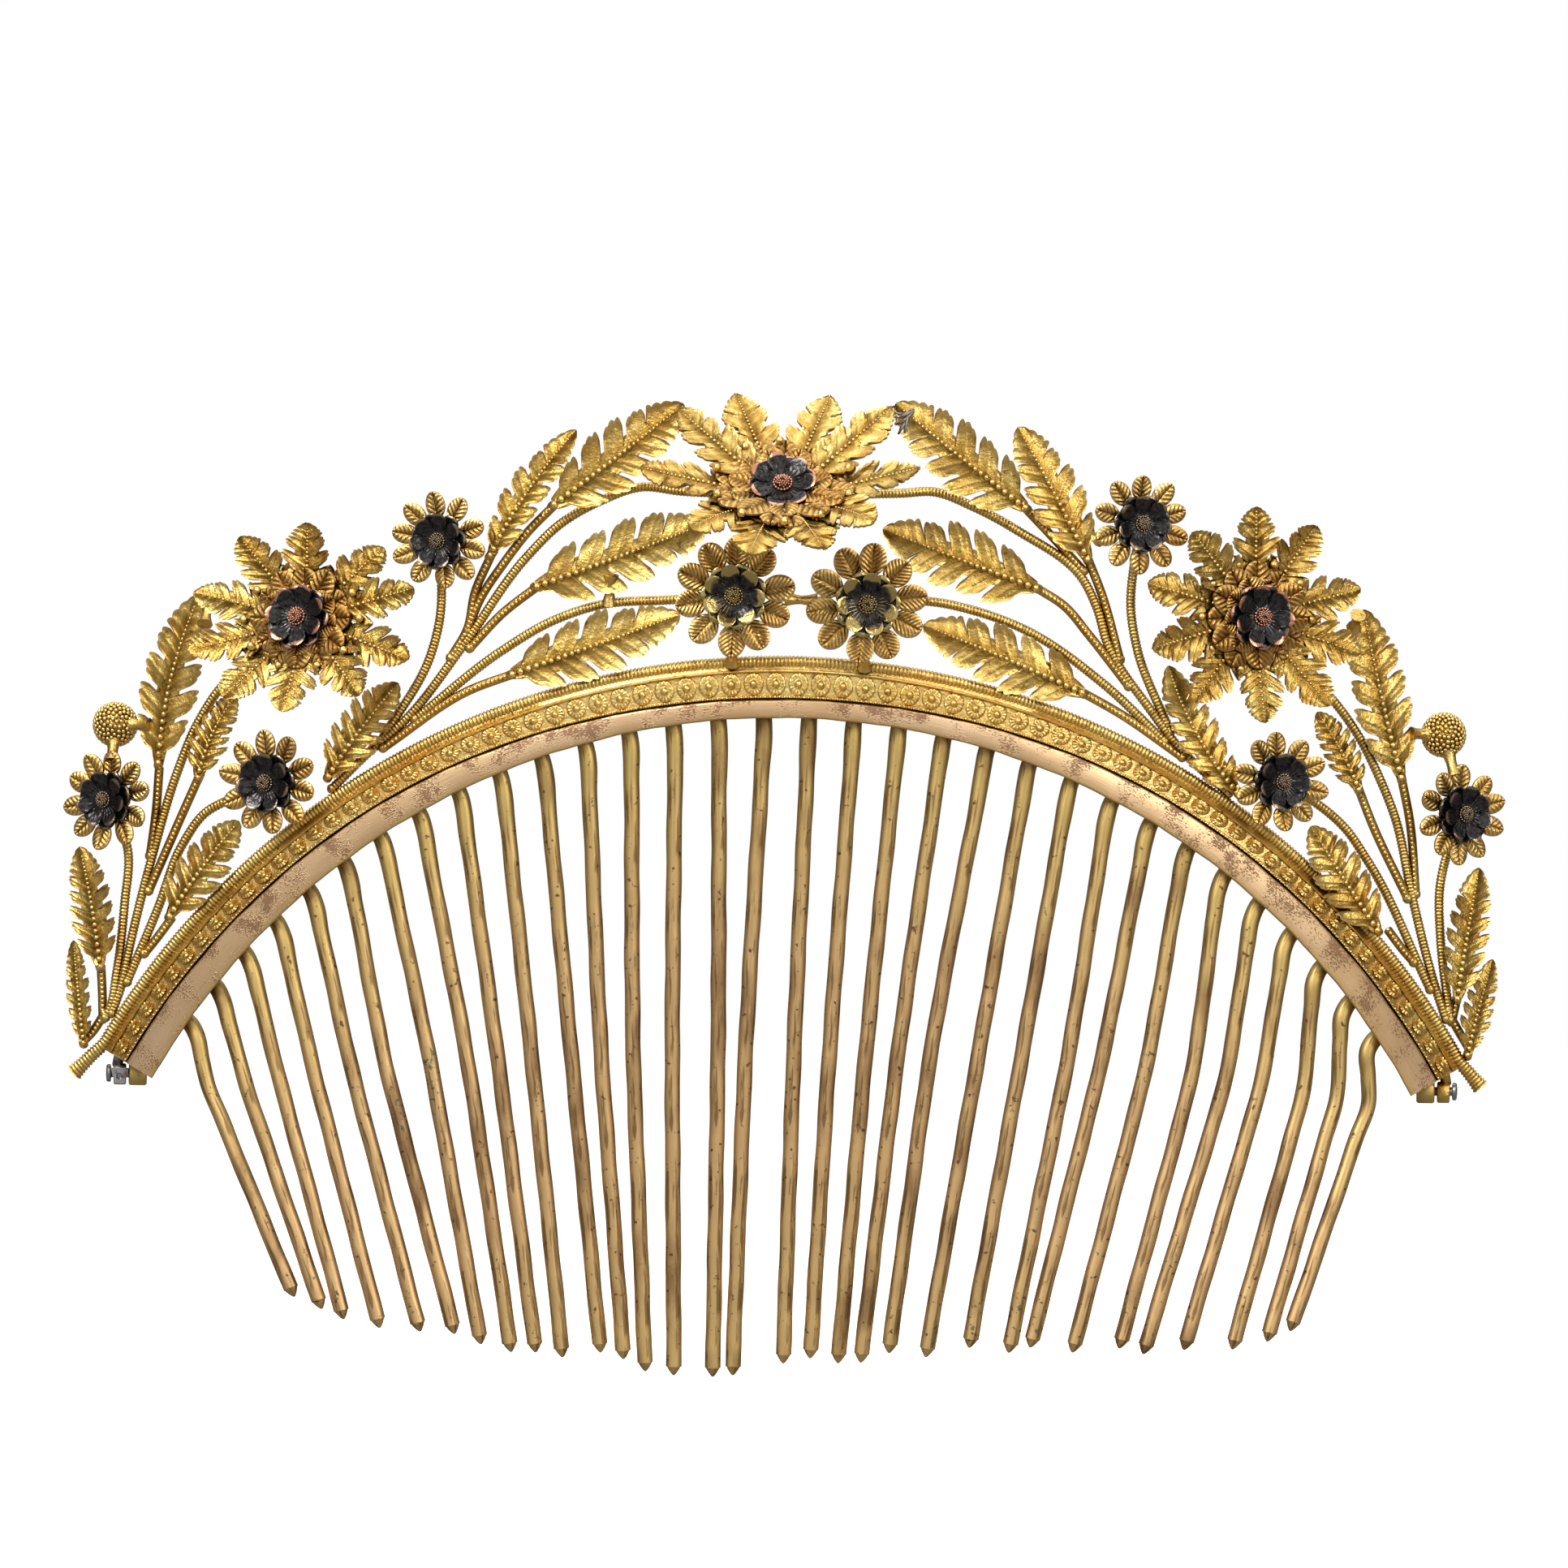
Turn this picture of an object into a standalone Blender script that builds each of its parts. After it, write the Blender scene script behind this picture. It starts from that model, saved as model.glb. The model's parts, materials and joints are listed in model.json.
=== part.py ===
"""A hinged ornamental hair comb in gilt metal: a comb of wire teeth and a crest of leaves and flowers.

Lengths in the tables are millimetres, and MM turns them into metres. The origin is under the middle of
the comb, level with the longest tooth's tip. +X is to the right seen from the front, +Z is up, and the
front faces -Y. Places in the tables are (x, z) seen from the front, from the middle of the hinge axis,
and on_head() wraps them round an upright cylinder, the curve of the head. "Lift" is the distance in
front of that cylinder.
"""
import math

import bmesh
import bpy
from mathutils import Matrix, Vector

MM = 0.001

# The hinge axis runs along X, this far behind and above the origin
HINGE_Y = 20.6
HINGE_Z = 32.6

# The arch, seen from the front
HEAD_RADIUS = 140.0       # plan curve of the whole comb
ARCH_CENTRE_Z = -40.7     # centre of the arch below the hinge axis
BAR_INNER = 81.3          # radius of the bar's lower edge
BAR_WIDTH = 2.0           # the bar's height at the middle of the arch
BAR_FLARE = 0.9           # how much higher the bar is at the sides
BAR_END = 58.9            # the bar's end, in degrees from the top of the arch
RAIL_INNER = 81.4
RAIL_END = 59.7
RAIL_SPLIT = 0.15         # half the gap between the two rows at the top, in degrees
BAND_END = 60.2
BAND_OUTER = 86.6
EDGING_RADIUS = 87.4      # centre line of the milled edging
GAP = 0.3                 # air between neighbouring pieces

# Layers, as lift (back, front)
RAIL_LAYER = (-0.3, 1.9)
BAR_PLATE = (2.2, 3.1)
BAR_FLANGE = 0.7
BAND_LAYER = (0.8, 1.8)
STEM_LIFT = 1.3
STEM_RADIUS = 0.55
STEM_STAGGER = 0.06       # neighbouring stems lie this much further forward or back
LEAF_LIFT = 2.45          # middle of the lower leaf layer
LEAF_STEP = 0.95          # from one leaf layer to the next
LEAF_THICK = 0.6
SMALL_LIFT = 4.2          # the small flowers' rosettes
LARGE_LIFT = 5.4
ROSETTE_THICK = 0.7

# Heights above a flower's rosette
SMALL_BLOSSOM_RISE = 1.45
RING_RISE = 1.5
RING_THICK = 0.9
LARGE_BLOSSOM_RISE = 3.2
LARGE_BLOSSOM_RADIUS = 3.4
BLOSSOM_THICK = 0.8
BLOSSOM_CUP = 12.0        # how far its petals bend forward, in degrees

# The hinge
AXIS_X = 73.9             # middle of each lug
LUG_THICK = 1.4
LUG_SIDE = 2.8
LUG_DROP = 0.55           # the lug hangs a little below the axis
EYE_THICK = 2.0
EYE_SIDE = 2.6
EYE_X = AXIS_X - LUG_THICK / 2 - GAP - EYE_THICK / 2
PIN_RADIUS = 0.5
HOLE_RADIUS = 0.8
HEAD_OF_PIN = 1.0
PIN_HEAD_THICK = 0.5

# The teeth: tip of each wire, from left to right. They were bent by hand, so they're uneven.
TOOTH_RADIUS = 0.88
TOOTH_FIRST = -54.9       # angle of the first root, and the step to the next
TOOTH_STEP = 3.54
TOOTH_LIFT = 0.8
TOOTH_BOW = 4.0           # how far back the longest tips curve, to follow the head
TOOTH_BULGE = 1.5         # how far the outermost teeth swing out below the bar
TOOTH_DROP = 72.0         # from the shoulder of the longest tooth to its tip
TOOTH_POINT = 1.6         # length of the blunt cone at the tip
TOOTH_STUB = 1.6          # how far a tooth sticks out of the bar before it bends
TOOTH_TIPS = (
    (-53.9, -24.5), (-50.8, -25.8), (-48.3, -26.9), (-44.3, -27.8),
    (-39.8, -28.1), (-35.9, -28.3), (-33.0, -29.4), (-29.6, -30.2),
    (-26.9, -30.2), (-23.9, -30.7), (-19.7, -30.1), (-17.1, -30.8),
    (-14.7, -32.1), (-11.5, -32.5), (-7.2, -32.6), (-5.0, -32.4),
    (0.6, -31.0), (3.6, -30.4), (6.7, -30.9), (9.2, -30.8),
    (12.3, -29.7), (16.4, -30.1), (21.2, -29.0), (25.6, -29.5),
    (28.0, -28.9), (32.7, -29.4), (37.9, -28.9), (40.6, -29.5),
    (45.1, -29.0), (50.5, -28.9), (54.4, -28.0), (57.0, -26.8),
)

# Leaves: base, middle and tip of the midrib, full width, and layer
LEAVES = {
    "leaf_outer_left": ((-70.0, 34.3), (-68.6, 44.6), (-65.6, 53.4), 6.0, 0),
    "leaf_fork_left": ((-65.5, 32.9), (-64.0, 37.9), (-61.3, 42.3), 4.0, 0),
    "leaf_band_left": ((-68.6, 17.4), (-65.1, 22.8), (-60.8, 28.3), 5.2, 0),
    "leaf_end_left": ((-76.2, 11.6), (-77.2, 18.3), (-78.7, 25.2), 4.7, 1),
    "leaf_foot_left": ((-78.0, 3.1), (-78.7, 8.9), (-79.3, 14.7), 2.6, 0),
    "leaf_root_left": ((-51.0, 33.2), (-47.6, 38.4), (-43.2, 43.9), 5.2, 0),
    "leaf_slim_left": ((-33.3, 57.9), (-29.5, 64.8), (-23.8, 72.2), 4.1, 0),
    "leaf_top_left": ((-26.4, 63.7), (-19.4, 69.1), (-11.9, 75.2), 6.6, 1),
    "leaf_upper_left": ((-28.3, 54.7), (-18.6, 58.3), (-8.8, 62.2), 6.8, 0),
    "leaf_lower_left": ((-30.9, 44.9), (-21.8, 48.2), (-12.0, 51.9), 6.4, 0),
    "leaf_outer_right": ((68.7, 34.6), (66.0, 44.7), (64.1, 53.6), 6.0, 0),
    "leaf_fork_right": ((63.9, 33.4), (61.5, 38.3), (59.0, 42.1), 3.8, 0),
    "leaf_band_right": ((66.3, 17.7), (62.4, 23.4), (58.5, 29.4), 5.4, 0),
    "leaf_end_right": ((75.2, 10.1), (76.3, 17.6), (77.5, 25.0), 4.7, 1),
    "leaf_foot_right": ((76.5, 3.9), (77.7, 9.3), (79.2, 14.8), 3.2, 0),
    "leaf_root_right": ((50.4, 32.8), (45.6, 39.4), (42.3, 47.0), 4.8, 0),
    "leaf_slim_right": ((33.3, 58.4), (29.2, 66.2), (25.2, 73.2), 5.9, 0),
    "leaf_top_right": ((26.4, 64.1), (19.3, 69.4), (11.6, 75.6), 6.8, 1),
    "leaf_upper_right": ((27.8, 55.3), (19.6, 58.2), (10.4, 61.7), 6.8, 0),
    "leaf_lower_right": ((33.1, 43.7), (24.3, 47.5), (15.0, 51.1), 6.6, 0),
}
LEAF_LOBES = 5

# Small flowers: centre and outer radius
SMALL_FLOWERS = {
    "end_left": (-75.4, 30.5, 5.5),
    "low_left": (-57.4, 32.6, 5.7),
    "high_left": (-38.7, 59.7, 5.3),
    "middle_left": (-6.0, 54.0, 6.6),
    "middle_right": (8.7, 53.3, 6.6),
    "high_right": (38.9, 62.7, 5.4),
    "low_right": (54.8, 34.3, 5.5),
    "end_right": (75.2, 31.0, 5.5),
}
# Large flowers: centre, outer radius, tilt upwards, cup and spin angles in degrees, extra lift
LARGE_FLOWERS = {
    "left": (-53.6, 50.6, 11.9, 12.0, 8.0, 0.0, 0.0),
    "right": (51.7, 52.6, 11.9, 0.0, 4.0, 0.0, 0.0),
    "centre": (-0.8, 64.7, 14.8, 52.0, 18.0, 18.0, 2.5),
}
BERRIES = {
    "left": (-74.9, 38.9),
    "right": (73.3, 39.8),
}
BERRY_RADIUS = 2.4
BERRY_LIFT = 2.3

# Stems, from flower or leaf down to where each joins the next. The first of each spray is its longest.
INNER_LEFT = (
    ((-6.0, 65.4), (-12.0, 65.6), (-16.5, 66.0), (-21.0, 64.4), (-25.4, 61.8), (-29.0, 58.2),
     (-36.0, 48.2), (-42.2, 40.0), (-46.7, 35.9), (-51.6, 30.9)),
    ((-25.9, 64.1), (-29.0, 60.9), (-31.7, 57.3), (-34.3, 53.2), (-35.6, 49.8)),
    ((-33.0, 58.4), (-34.8, 54.1), (-35.6, 50.0), (-37.4, 46.8)),
    ((-27.8, 54.9), (-31.6, 51.9), (-35.3, 47.9)),
    ((-6.0, 54.0), (-13.6, 53.5), (-20.8, 52.9), (-26.2, 51.0), (-31.5, 47.8), (-41.3, 39.9)),
    ((-30.4, 45.1), (-35.1, 43.3), (-44.8, 36.7)),
    ((-38.7, 59.7), (-38.8, 50.4), (-39.6, 47.2), (-45.1, 37.4)),
)
OUTER_LEFT = (
    ((-56.5, 47.6), (-62.5, 43.8), (-65.6, 39.2), (-67.8, 33.8), (-70.4, 24.8),
     (-72.9, 14.4), (-73.8, 9.9), (-75.2, 5.6)),
    ((-69.9, 34.2), (-70.2, 29.3), (-70.8, 24.3)),
    ((-65.4, 33.2), (-67.1, 29.3), (-70.9, 20.4)),
    ((-57.4, 32.6), (-61.5, 30.9), (-64.6, 29.2), (-67.1, 25.7), (-69.8, 18.5), (-73.2, 10.2)),
    ((-68.2, 17.5), (-70.1, 14.9), (-71.3, 13.4)),
    ((-75.0, 29.6), (-73.3, 24.7), (-73.6, 19.0), (-74.4, 11.2), (-75.2, 7.0), (-75.6, 6.2)),
    ((-76.2, 12.0), (-76.0, 8.9), (-75.9, 6.0)),
    ((-78.0, 3.5), (-77.3, 4.2), (-75.7, 6.6)),
)
INNER_RIGHT = (
    ((5.0, 65.5), (12.5, 65.7), (15.9, 65.9), (20.4, 64.3), (25.4, 61.7), (32.7, 56.4),
     (34.3, 53.2), (35.4, 49.6), (40.6, 41.8), (43.5, 38.1), (49.9, 32.3)),
    ((26.0, 64.4), (29.5, 60.8), (32.7, 57.4)),
    ((33.1, 58.9), (34.7, 55.0), (36.9, 47.6)),
    ((27.4, 55.5), (30.7, 53.4), (33.4, 50.3), (37.9, 44.7)),
    ((8.7, 53.3), (16.1, 53.7), (20.6, 52.8), (26.0, 50.9), (35.1, 44.9), (42.0, 38.6)),
    ((32.6, 44.0), (37.0, 41.6), (44.0, 36.9)),
    ((38.9, 62.7), (38.1, 52.4), (38.8, 48.8), (42.6, 39.7)),
)
OUTER_RIGHT = (
    ((55.5, 48.4), (61.2, 43.0), (63.8, 39.4), (66.0, 35.2), (67.9, 30.7), (70.0, 21.8),
     (72.6, 12.2), (74.0, 8.1)),
    ((68.6, 35.0), (69.6, 30.3), (70.4, 22.0)),
    ((63.7, 33.9), (65.5, 29.5), (69.5, 21.5)),
    ((54.8, 34.3), (58.9, 32.1), (62.3, 29.3), (64.9, 25.7), (72.2, 11.4)),
    ((67.3, 18.0), (69.2, 15.6), (70.3, 14.4)),
    ((75.2, 31.0), (73.1, 22.4), (73.3, 16.9), (74.5, 8.0)),
    ((75.3, 10.6), (74.7, 7.8)),
    ((76.6, 5.0), (75.6, 6.6), (74.2, 9.0)),
)
SPRAYS = {
    "stem_spray_inner_left": INNER_LEFT,
    "stem_spray_outer_left": OUTER_LEFT,
    "stem_spray_inner_right": INNER_RIGHT,
    "stem_spray_outer_right": OUTER_RIGHT,
}
STEM_END_RADIUS = EDGING_RADIUS + 0.55 + GAP + STEM_RADIUS

# The edging's free ends, past the band
EDGING_TAILS = {-1: (-78.9, 0.0), 1: (77.9, 0.6)}


# Distance of the head's centre line behind the hinge axis
HEAD_CENTRE_Y = math.sqrt(HEAD_RADIUS * HEAD_RADIUS - AXIS_X * AXIS_X)


def turn_at(x, lift):
    """Angle round the head of a place seen at x."""
    return math.asin(x / (HEAD_RADIUS + lift))


def on_axis(x, rise=0.0):
    """World place, in metres, of a point on the hinge axis or straight above it."""
    return Vector((x, HINGE_Y, HINGE_Z + rise)) * MM


def on_head(x, z, lift):
    """World place, in metres, of a front-view place wrapped round the head."""
    turn = turn_at(x, lift)
    depth = HEAD_CENTRE_Y - (HEAD_RADIUS + lift) * math.cos(turn)
    return on_axis(x, z) + Vector((0.0, depth * MM, 0.0))


def on_arch(radius, degrees, lift):
    """World place of a point on the arch."""
    angle = math.radians(degrees)
    return on_head(radius * math.sin(angle), ARCH_CENTRE_Z + radius * math.cos(angle), lift)


def arch_radius(x, z):
    """Distance of a front-view place from the arch's centre."""
    return math.hypot(x, z - ARCH_CENTRE_Z)


def bar_outer(degrees):
    """Radius of the bar's upper edge, which widens towards the sides."""
    share = min(1.0, abs(degrees) / 40.0)
    return BAR_INNER + BAR_WIDTH + BAR_FLARE * math.sin(share * math.pi / 2) ** 2


def clear_scene():
    for item in list(bpy.data.objects):
        bpy.data.objects.remove(item, do_unlink=True)


def make_material(name, colour, roughness, metallic=1.0):
    material = bpy.data.materials.new(name)
    material.use_nodes = True
    shader = material.node_tree.nodes["Principled BSDF"]
    shader.inputs["Base Color"].default_value = (*colour, 1.0)
    shader.inputs["Roughness"].default_value = roughness
    shader.inputs["Metallic"].default_value = metallic
    return material


def make_collection(name):
    group = bpy.data.collections.new(name)
    bpy.context.scene.collection.children.link(group)
    return group


def add_object(name, data, material=None):
    """A new object in the comb's collection."""
    item = bpy.data.objects.new(name, data)
    PARTS.objects.link(item)
    if material:
        item.data.materials.clear()
        item.data.materials.append(MATERIALS[material])
    return item


def mesh_of(item):
    """The object's evaluated mesh, welded, in its own space."""
    graph = bpy.context.evaluated_depsgraph_get()
    mesh = bpy.data.meshes.new_from_object(item.evaluated_get(graph))
    work = bmesh.new()
    work.from_mesh(mesh)
    bmesh.ops.remove_doubles(work, verts=work.verts, dist=0.000001)
    bmesh.ops.recalc_face_normals(work, faces=work.faces)
    work.to_mesh(mesh)
    work.free()
    return mesh


def settle(item):
    """Replace an object by a mesh object of the same name and place, with its modifiers applied."""
    mesh = mesh_of(item)
    name = item.name
    place = item.matrix_world.copy()
    materials = list(item.data.materials)
    bpy.data.objects.remove(item, do_unlink=True)
    solid = add_object(name, mesh)
    solid.matrix_world = place
    solid.data.materials.clear()
    for material in materials:
        solid.data.materials.append(material)
    return solid


def join_solids(base, others):
    """One closed body from solids that run into each other."""
    for other in others:
        bpy.context.view_layer.update()
        union = base.modifiers.new("union", "BOOLEAN")
        union.operation = "UNION"
        union.object = other
        base = settle(base)
        bpy.data.objects.remove(other, do_unlink=True)
    return base


def bore(item, cutter_name, start, end, radius):
    """Drill a round hole; the drill stays as a hidden cutter."""
    cutter = rod(cutter_name, start, end, radius, None)
    PARTS.objects.unlink(cutter)
    CUTTERS.objects.link(cutter)
    cutter.hide_render = True
    cutter.display_type = "WIRE"
    cut = item.modifiers.new("hole", "BOOLEAN")
    cut.operation = "DIFFERENCE"
    cut.object = cutter


def rod(name, start, end, radius, material, sides=12):
    """A round bar between two world places."""
    mesh = bpy.data.meshes.new(name)
    work = bmesh.new()
    length = (end - start).length
    bmesh.ops.create_cone(work, cap_ends=True, segments=sides, radius1=radius * MM,
                          radius2=radius * MM, depth=length)
    work.to_mesh(mesh)
    work.free()
    item = add_object(name, mesh, material)
    turn = (end - start).to_track_quat("Z", "Y").to_matrix().to_4x4()
    item.matrix_world = Matrix.Translation((start + end) / 2) @ turn
    return item


def wire(name, places, radius, material, resolution=1, tip_scale=1.0):
    """A round wire through world places, as a mesh. tip_scale narrows its last point."""
    curve = bpy.data.curves.new(name, "CURVE")
    curve.dimensions = "3D"
    curve.bevel_depth = radius * MM
    curve.bevel_resolution = resolution
    curve.use_fill_caps = True
    curve.render_resolution_u = 0
    spline = curve.splines.new("POLY")
    spline.points.add(len(places) - 1)
    for point, place in zip(spline.points, places):
        point.co = (*place, 1.0)
    spline.points[-1].radius = tip_scale
    item = add_object(name, curve, material)
    item.data.twist_mode = "Z_UP"
    return settle(item)


def arch_loft(name, section, first, last, steps, material):
    """A bar swept along the arch. section(degrees) gives its corners as (radius, lift)."""
    mesh = bpy.data.meshes.new(name)
    work = bmesh.new()
    rings = []
    for step in range(steps + 1):
        degrees = first + (last - first) * step / steps
        corners = section(degrees)
        rings.append([work.verts.new(on_arch(radius, degrees, lift)) for radius, lift in corners])
    sides = len(rings[0])
    for near, far in zip(rings, rings[1:]):
        for side in range(sides):
            after = (side + 1) % sides
            work.faces.new((near[side], near[after], far[after], far[side]))
    work.faces.new(reversed(rings[0]))
    work.faces.new(rings[-1])
    bmesh.ops.recalc_face_normals(work, faces=work.faces)
    work.to_mesh(mesh)
    work.free()
    return add_object(name, mesh, material)


def strip(low, high, layer):
    """Section of a plain strip between two radii."""
    back, front = layer
    return ((low, back), (high, back), (high, front), (low, front))


def bar_section(degrees):
    """L-shaped channel: a front plate and a flange over the rail."""
    outer = bar_outer(degrees)
    back = RAIL_LAYER[0]
    plate_back, plate_front = BAR_PLATE
    return ((BAR_INNER, plate_front), (outer, plate_front), (outer, back),
            (outer - BAR_FLANGE, back), (outer - BAR_FLANGE, plate_back), (BAR_INNER, plate_back))


def rail_section(degrees):
    return strip(RAIL_INNER, bar_outer(degrees) - BAR_FLANGE - GAP, RAIL_LAYER)


def band_section(degrees):
    return strip(bar_outer(degrees) + GAP, BAND_OUTER, BAND_LAYER)


def tooth_places(index):
    """Centre line of one tooth, from inside the rail to its tip."""
    degrees = TOOTH_FIRST + TOOTH_STEP * index
    angle = math.radians(degrees)
    inward = Vector((-math.sin(angle), -math.cos(angle)))
    centre = Vector((0.0, ARCH_CENTRE_Z))
    root = centre - inward * (BAR_INNER + 0.6)
    shoulder = centre - inward * (BAR_INNER - TOOTH_STUB)
    tip = Vector(TOOTH_TIPS[index])
    bulge = TOOTH_BULGE * (degrees / TOOTH_FIRST) ** 2 * math.copysign(1.0, degrees)
    knee = shoulder.lerp(tip, 0.12) + Vector((bulge, 0.0))
    middle = shoulder.lerp(tip, 0.35) + Vector((bulge, 0.0))
    neck = tip + (middle - tip).normalized() * TOOTH_POINT
    path = []
    for point in (root, shoulder, knee, middle, shoulder.lerp(tip, 0.68), neck, tip):
        run = max(0.0, shoulder.y - point.y) / TOOTH_DROP
        place = on_head(point.x, point.y, TOOTH_LIFT)
        path.append(place + Vector((0.0, TOOTH_BOW * run * run * MM, 0.0)))
    return path


def build_tooth_row(side, name):
    """Half the rail with its sixteen teeth and its hinge eye, brazed into one."""
    count = len(TOOTH_TIPS) // 2
    first, last = sorted((side * RAIL_END, side * RAIL_SPLIT))
    row = arch_loft(name, rail_section, first, last, 14, "tooth_brass")
    start = 0 if side < 0 else count
    teeth = []
    for index in range(start, start + count):
        teeth.append(wire("tooth", tooth_places(index), TOOTH_RADIUS, "tooth_brass", 1, 0.35))
    eye = block("eye", on_axis(side * EYE_X), (EYE_THICK, EYE_SIDE, EYE_SIDE), "tooth_brass")
    row = join_solids(row, [*teeth, eye])
    bore(row, name + "_drill", on_axis(side * (EYE_X - EYE_THICK)), on_axis(side * (EYE_X + EYE_THICK)),
         HOLE_RADIUS)


def block(name, centre, size, material):
    """A box: centre in metres, size in millimetres."""
    mesh = bpy.data.meshes.new(name)
    work = bmesh.new()
    bmesh.ops.create_cube(work, size=1.0)
    bmesh.ops.scale(work, vec=Vector(size) * MM, verts=work.verts)
    work.to_mesh(mesh)
    work.free()
    item = add_object(name, mesh, material)
    item.location = centre
    bpy.context.view_layer.update()
    return item


def build_hinge(side, label):
    """The crest's lug and the pin that the comb turns on."""
    material = "steel" if side < 0 else "gilt"
    lug = block("hinge_lug_" + label, on_axis(side * AXIS_X, -LUG_DROP), (LUG_THICK, LUG_SIDE, LUG_SIDE),
                material)
    bore(lug, "lug_drill_" + label, on_axis(side * (AXIS_X - LUG_THICK)),
         on_axis(side * (AXIS_X + LUG_THICK)), HOLE_RADIUS)
    tip = EYE_X - EYE_THICK / 2 + GAP
    neck = AXIS_X + LUG_THICK / 2 + GAP
    overlap = PIN_HEAD_THICK / 5
    pin = rod("hinge_pin_" + label, on_axis(side * tip), on_axis(side * (neck + overlap)), PIN_RADIUS,
              "steel")
    head = rod("head", on_axis(side * neck), on_axis(side * (neck + PIN_HEAD_THICK)), HEAD_OF_PIN,
               "steel")
    join_solids(pin, [head])


def build_edging():
    """The ribbed wire along the band, with its two free ends."""
    places = []
    steps = 36
    tail_x, tail_z = EDGING_TAILS[-1]
    places.append(on_head(tail_x, tail_z, STEM_LIFT))
    for step in range(steps + 1):
        degrees = -BAND_END + 2 * BAND_END * step / steps
        places.append(on_arch(EDGING_RADIUS, degrees, STEM_LIFT))
    tail_x, tail_z = EDGING_TAILS[1]
    places.append(on_head(tail_x, tail_z, STEM_LIFT))
    wire("milled_edging", places, 0.5, "gilt", 0)


def trimmed(path):
    """A stem's path, cut where it would run into the edging."""
    kept = [Vector(path[0])]
    for step in path[1:]:
        point = Vector(step)
        if arch_radius(*point) >= STEM_END_RADIUS:
            kept.append(point)
            continue
        last = kept[-1]
        inside = arch_radius(*last) - STEM_END_RADIUS
        outside = STEM_END_RADIUS - arch_radius(*point)
        kept.append(last.lerp(point, inside / (inside + outside)))
        break
    return kept


def build_spray(name, stems):
    """A spray of stem wires, soldered where they meet."""
    wires = []
    for number, stem in enumerate(stems):
        lift = STEM_LIFT + STEM_STAGGER * (number % 3 - 1)
        places = [on_head(point.x, point.y, lift) for point in trimmed(stem)]
        wires.append(wire(name, places, STEM_RADIUS, "gilt", 1))
    wires[0] = join_solids(wires[0], wires[1:])
    wires[0].name = name


def leaf_outline(base, middle, tip, width):
    """Front-view outline of a lobed leaf along a bent midrib."""
    base, middle, tip = Vector(base), Vector(middle), Vector(tip)

    def rib(share):
        return base * (1 - share) ** 2 + middle * 2 * share * (1 - share) + tip * share ** 2

    middle = middle * 2 - (base + tip) / 2   # the rib passes through the given middle
    along = (tip - base).normalized()
    across = Vector((-along.y, along.x))
    sides = ([], [])
    for lobe in range(LEAF_LOBES):
        notch = (lobe + 0.15) / LEAF_LOBES
        point = (lobe + 1.05) / LEAF_LOBES
        swell = math.sin(math.pi * (0.2 + 0.7 * (lobe + 0.5) / LEAF_LOBES))
        reach = width / 2 * swell
        inner = 0.45 if lobe else 0.25
        if lobe == LEAF_LOBES - 1:
            point = 0.93
            reach *= 0.75
        for side, chain in zip((1, -1), sides):
            chain.append(rib(notch) + across * side * reach * inner)
            chain.append(rib(point) + across * side * reach)
    return [base, *sides[0], tip, *reversed(sides[1])]


def build_leaf(name, base, middle, tip, width, layer):
    """A stamped leaf: a flat outline with thickness, wrapped round the head."""
    curve = bpy.data.curves.new(name, "CURVE")
    curve.dimensions = "2D"
    curve.fill_mode = "BOTH"
    curve.extrude = LEAF_THICK / 2
    curve.render_resolution_u = 0
    outline = leaf_outline(base, middle, tip, width)
    spline = curve.splines.new("POLY")
    spline.points.add(len(outline) - 1)
    spline.use_cyclic_u = True
    for point, place in zip(spline.points, outline):
        point.co = (place.x, place.y, 0.0, 1.0)
    leaf = settle(add_object(name, curve, "gilt"))
    lift = LEAF_LIFT + LEAF_STEP * layer
    for vertex in leaf.data.vertices:
        vertex.co = on_head(vertex.co.x, vertex.co.y, lift + vertex.co.z)
    face_outwards(leaf.data)


def face_outwards(mesh):
    work = bmesh.new()
    work.from_mesh(mesh)
    bmesh.ops.recalc_face_normals(work, faces=work.faces)
    work.to_mesh(mesh)
    work.free()


def facing(x, z, lift, tilt):
    """Frame of a piece that faces out from the head: its own Z points outwards, and Y up."""
    turn = turn_at(x, lift)
    side = Vector((math.cos(turn), math.sin(turn), 0.0))
    out = Vector((math.sin(turn), -math.cos(turn), 0.0))
    up = Vector((0.0, 0.0, 1.0))
    frame = Matrix((side, up, out)).transposed().to_4x4()
    tilting = Matrix.Rotation(-math.radians(tilt), 4, "X")
    return Matrix.Translation(on_head(x, z, lift)) @ frame @ tilting


def petal_disc(name, petals, notch, tip, cup, thickness, steps, material):
    """A round of petals: a surface in polar form, given thickness. cup is its forward bend."""
    mesh = bpy.data.meshes.new(name)
    work = bmesh.new()
    centre = work.verts.new((0.0, 0.0, 0.0))
    rim = []
    count = petals * steps
    for step in range(count):
        angle = 2 * math.pi * step / count
        swell = abs(math.cos(petals * angle / 2)) ** 0.7
        radius = notch + (tip - notch) * swell
        rise = math.tan(math.radians(cup)) * radius
        rim.append(work.verts.new((radius * math.sin(angle) * MM, radius * math.cos(angle) * MM,
                                   rise * MM)))
    for near, far in zip(rim, rim[1:] + rim[:1]):
        work.faces.new((centre, far, near))
    work.to_mesh(mesh)
    work.free()
    disc = add_object(name, mesh, material)
    solid = disc.modifiers.new("thickness", "SOLIDIFY")
    solid.thickness = thickness * MM
    solid.offset = 0.0
    return settle(disc)


def round_boss(name, radius, low, high, material):
    """A short round boss standing along Z, with its ends in millimetres."""
    start = Vector((0.0, 0.0, low * MM))
    end = Vector((0.0, 0.0, high * MM))
    boss = rod(name, start, end, radius, material, 8)
    bpy.context.view_layer.update()
    return boss


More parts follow.
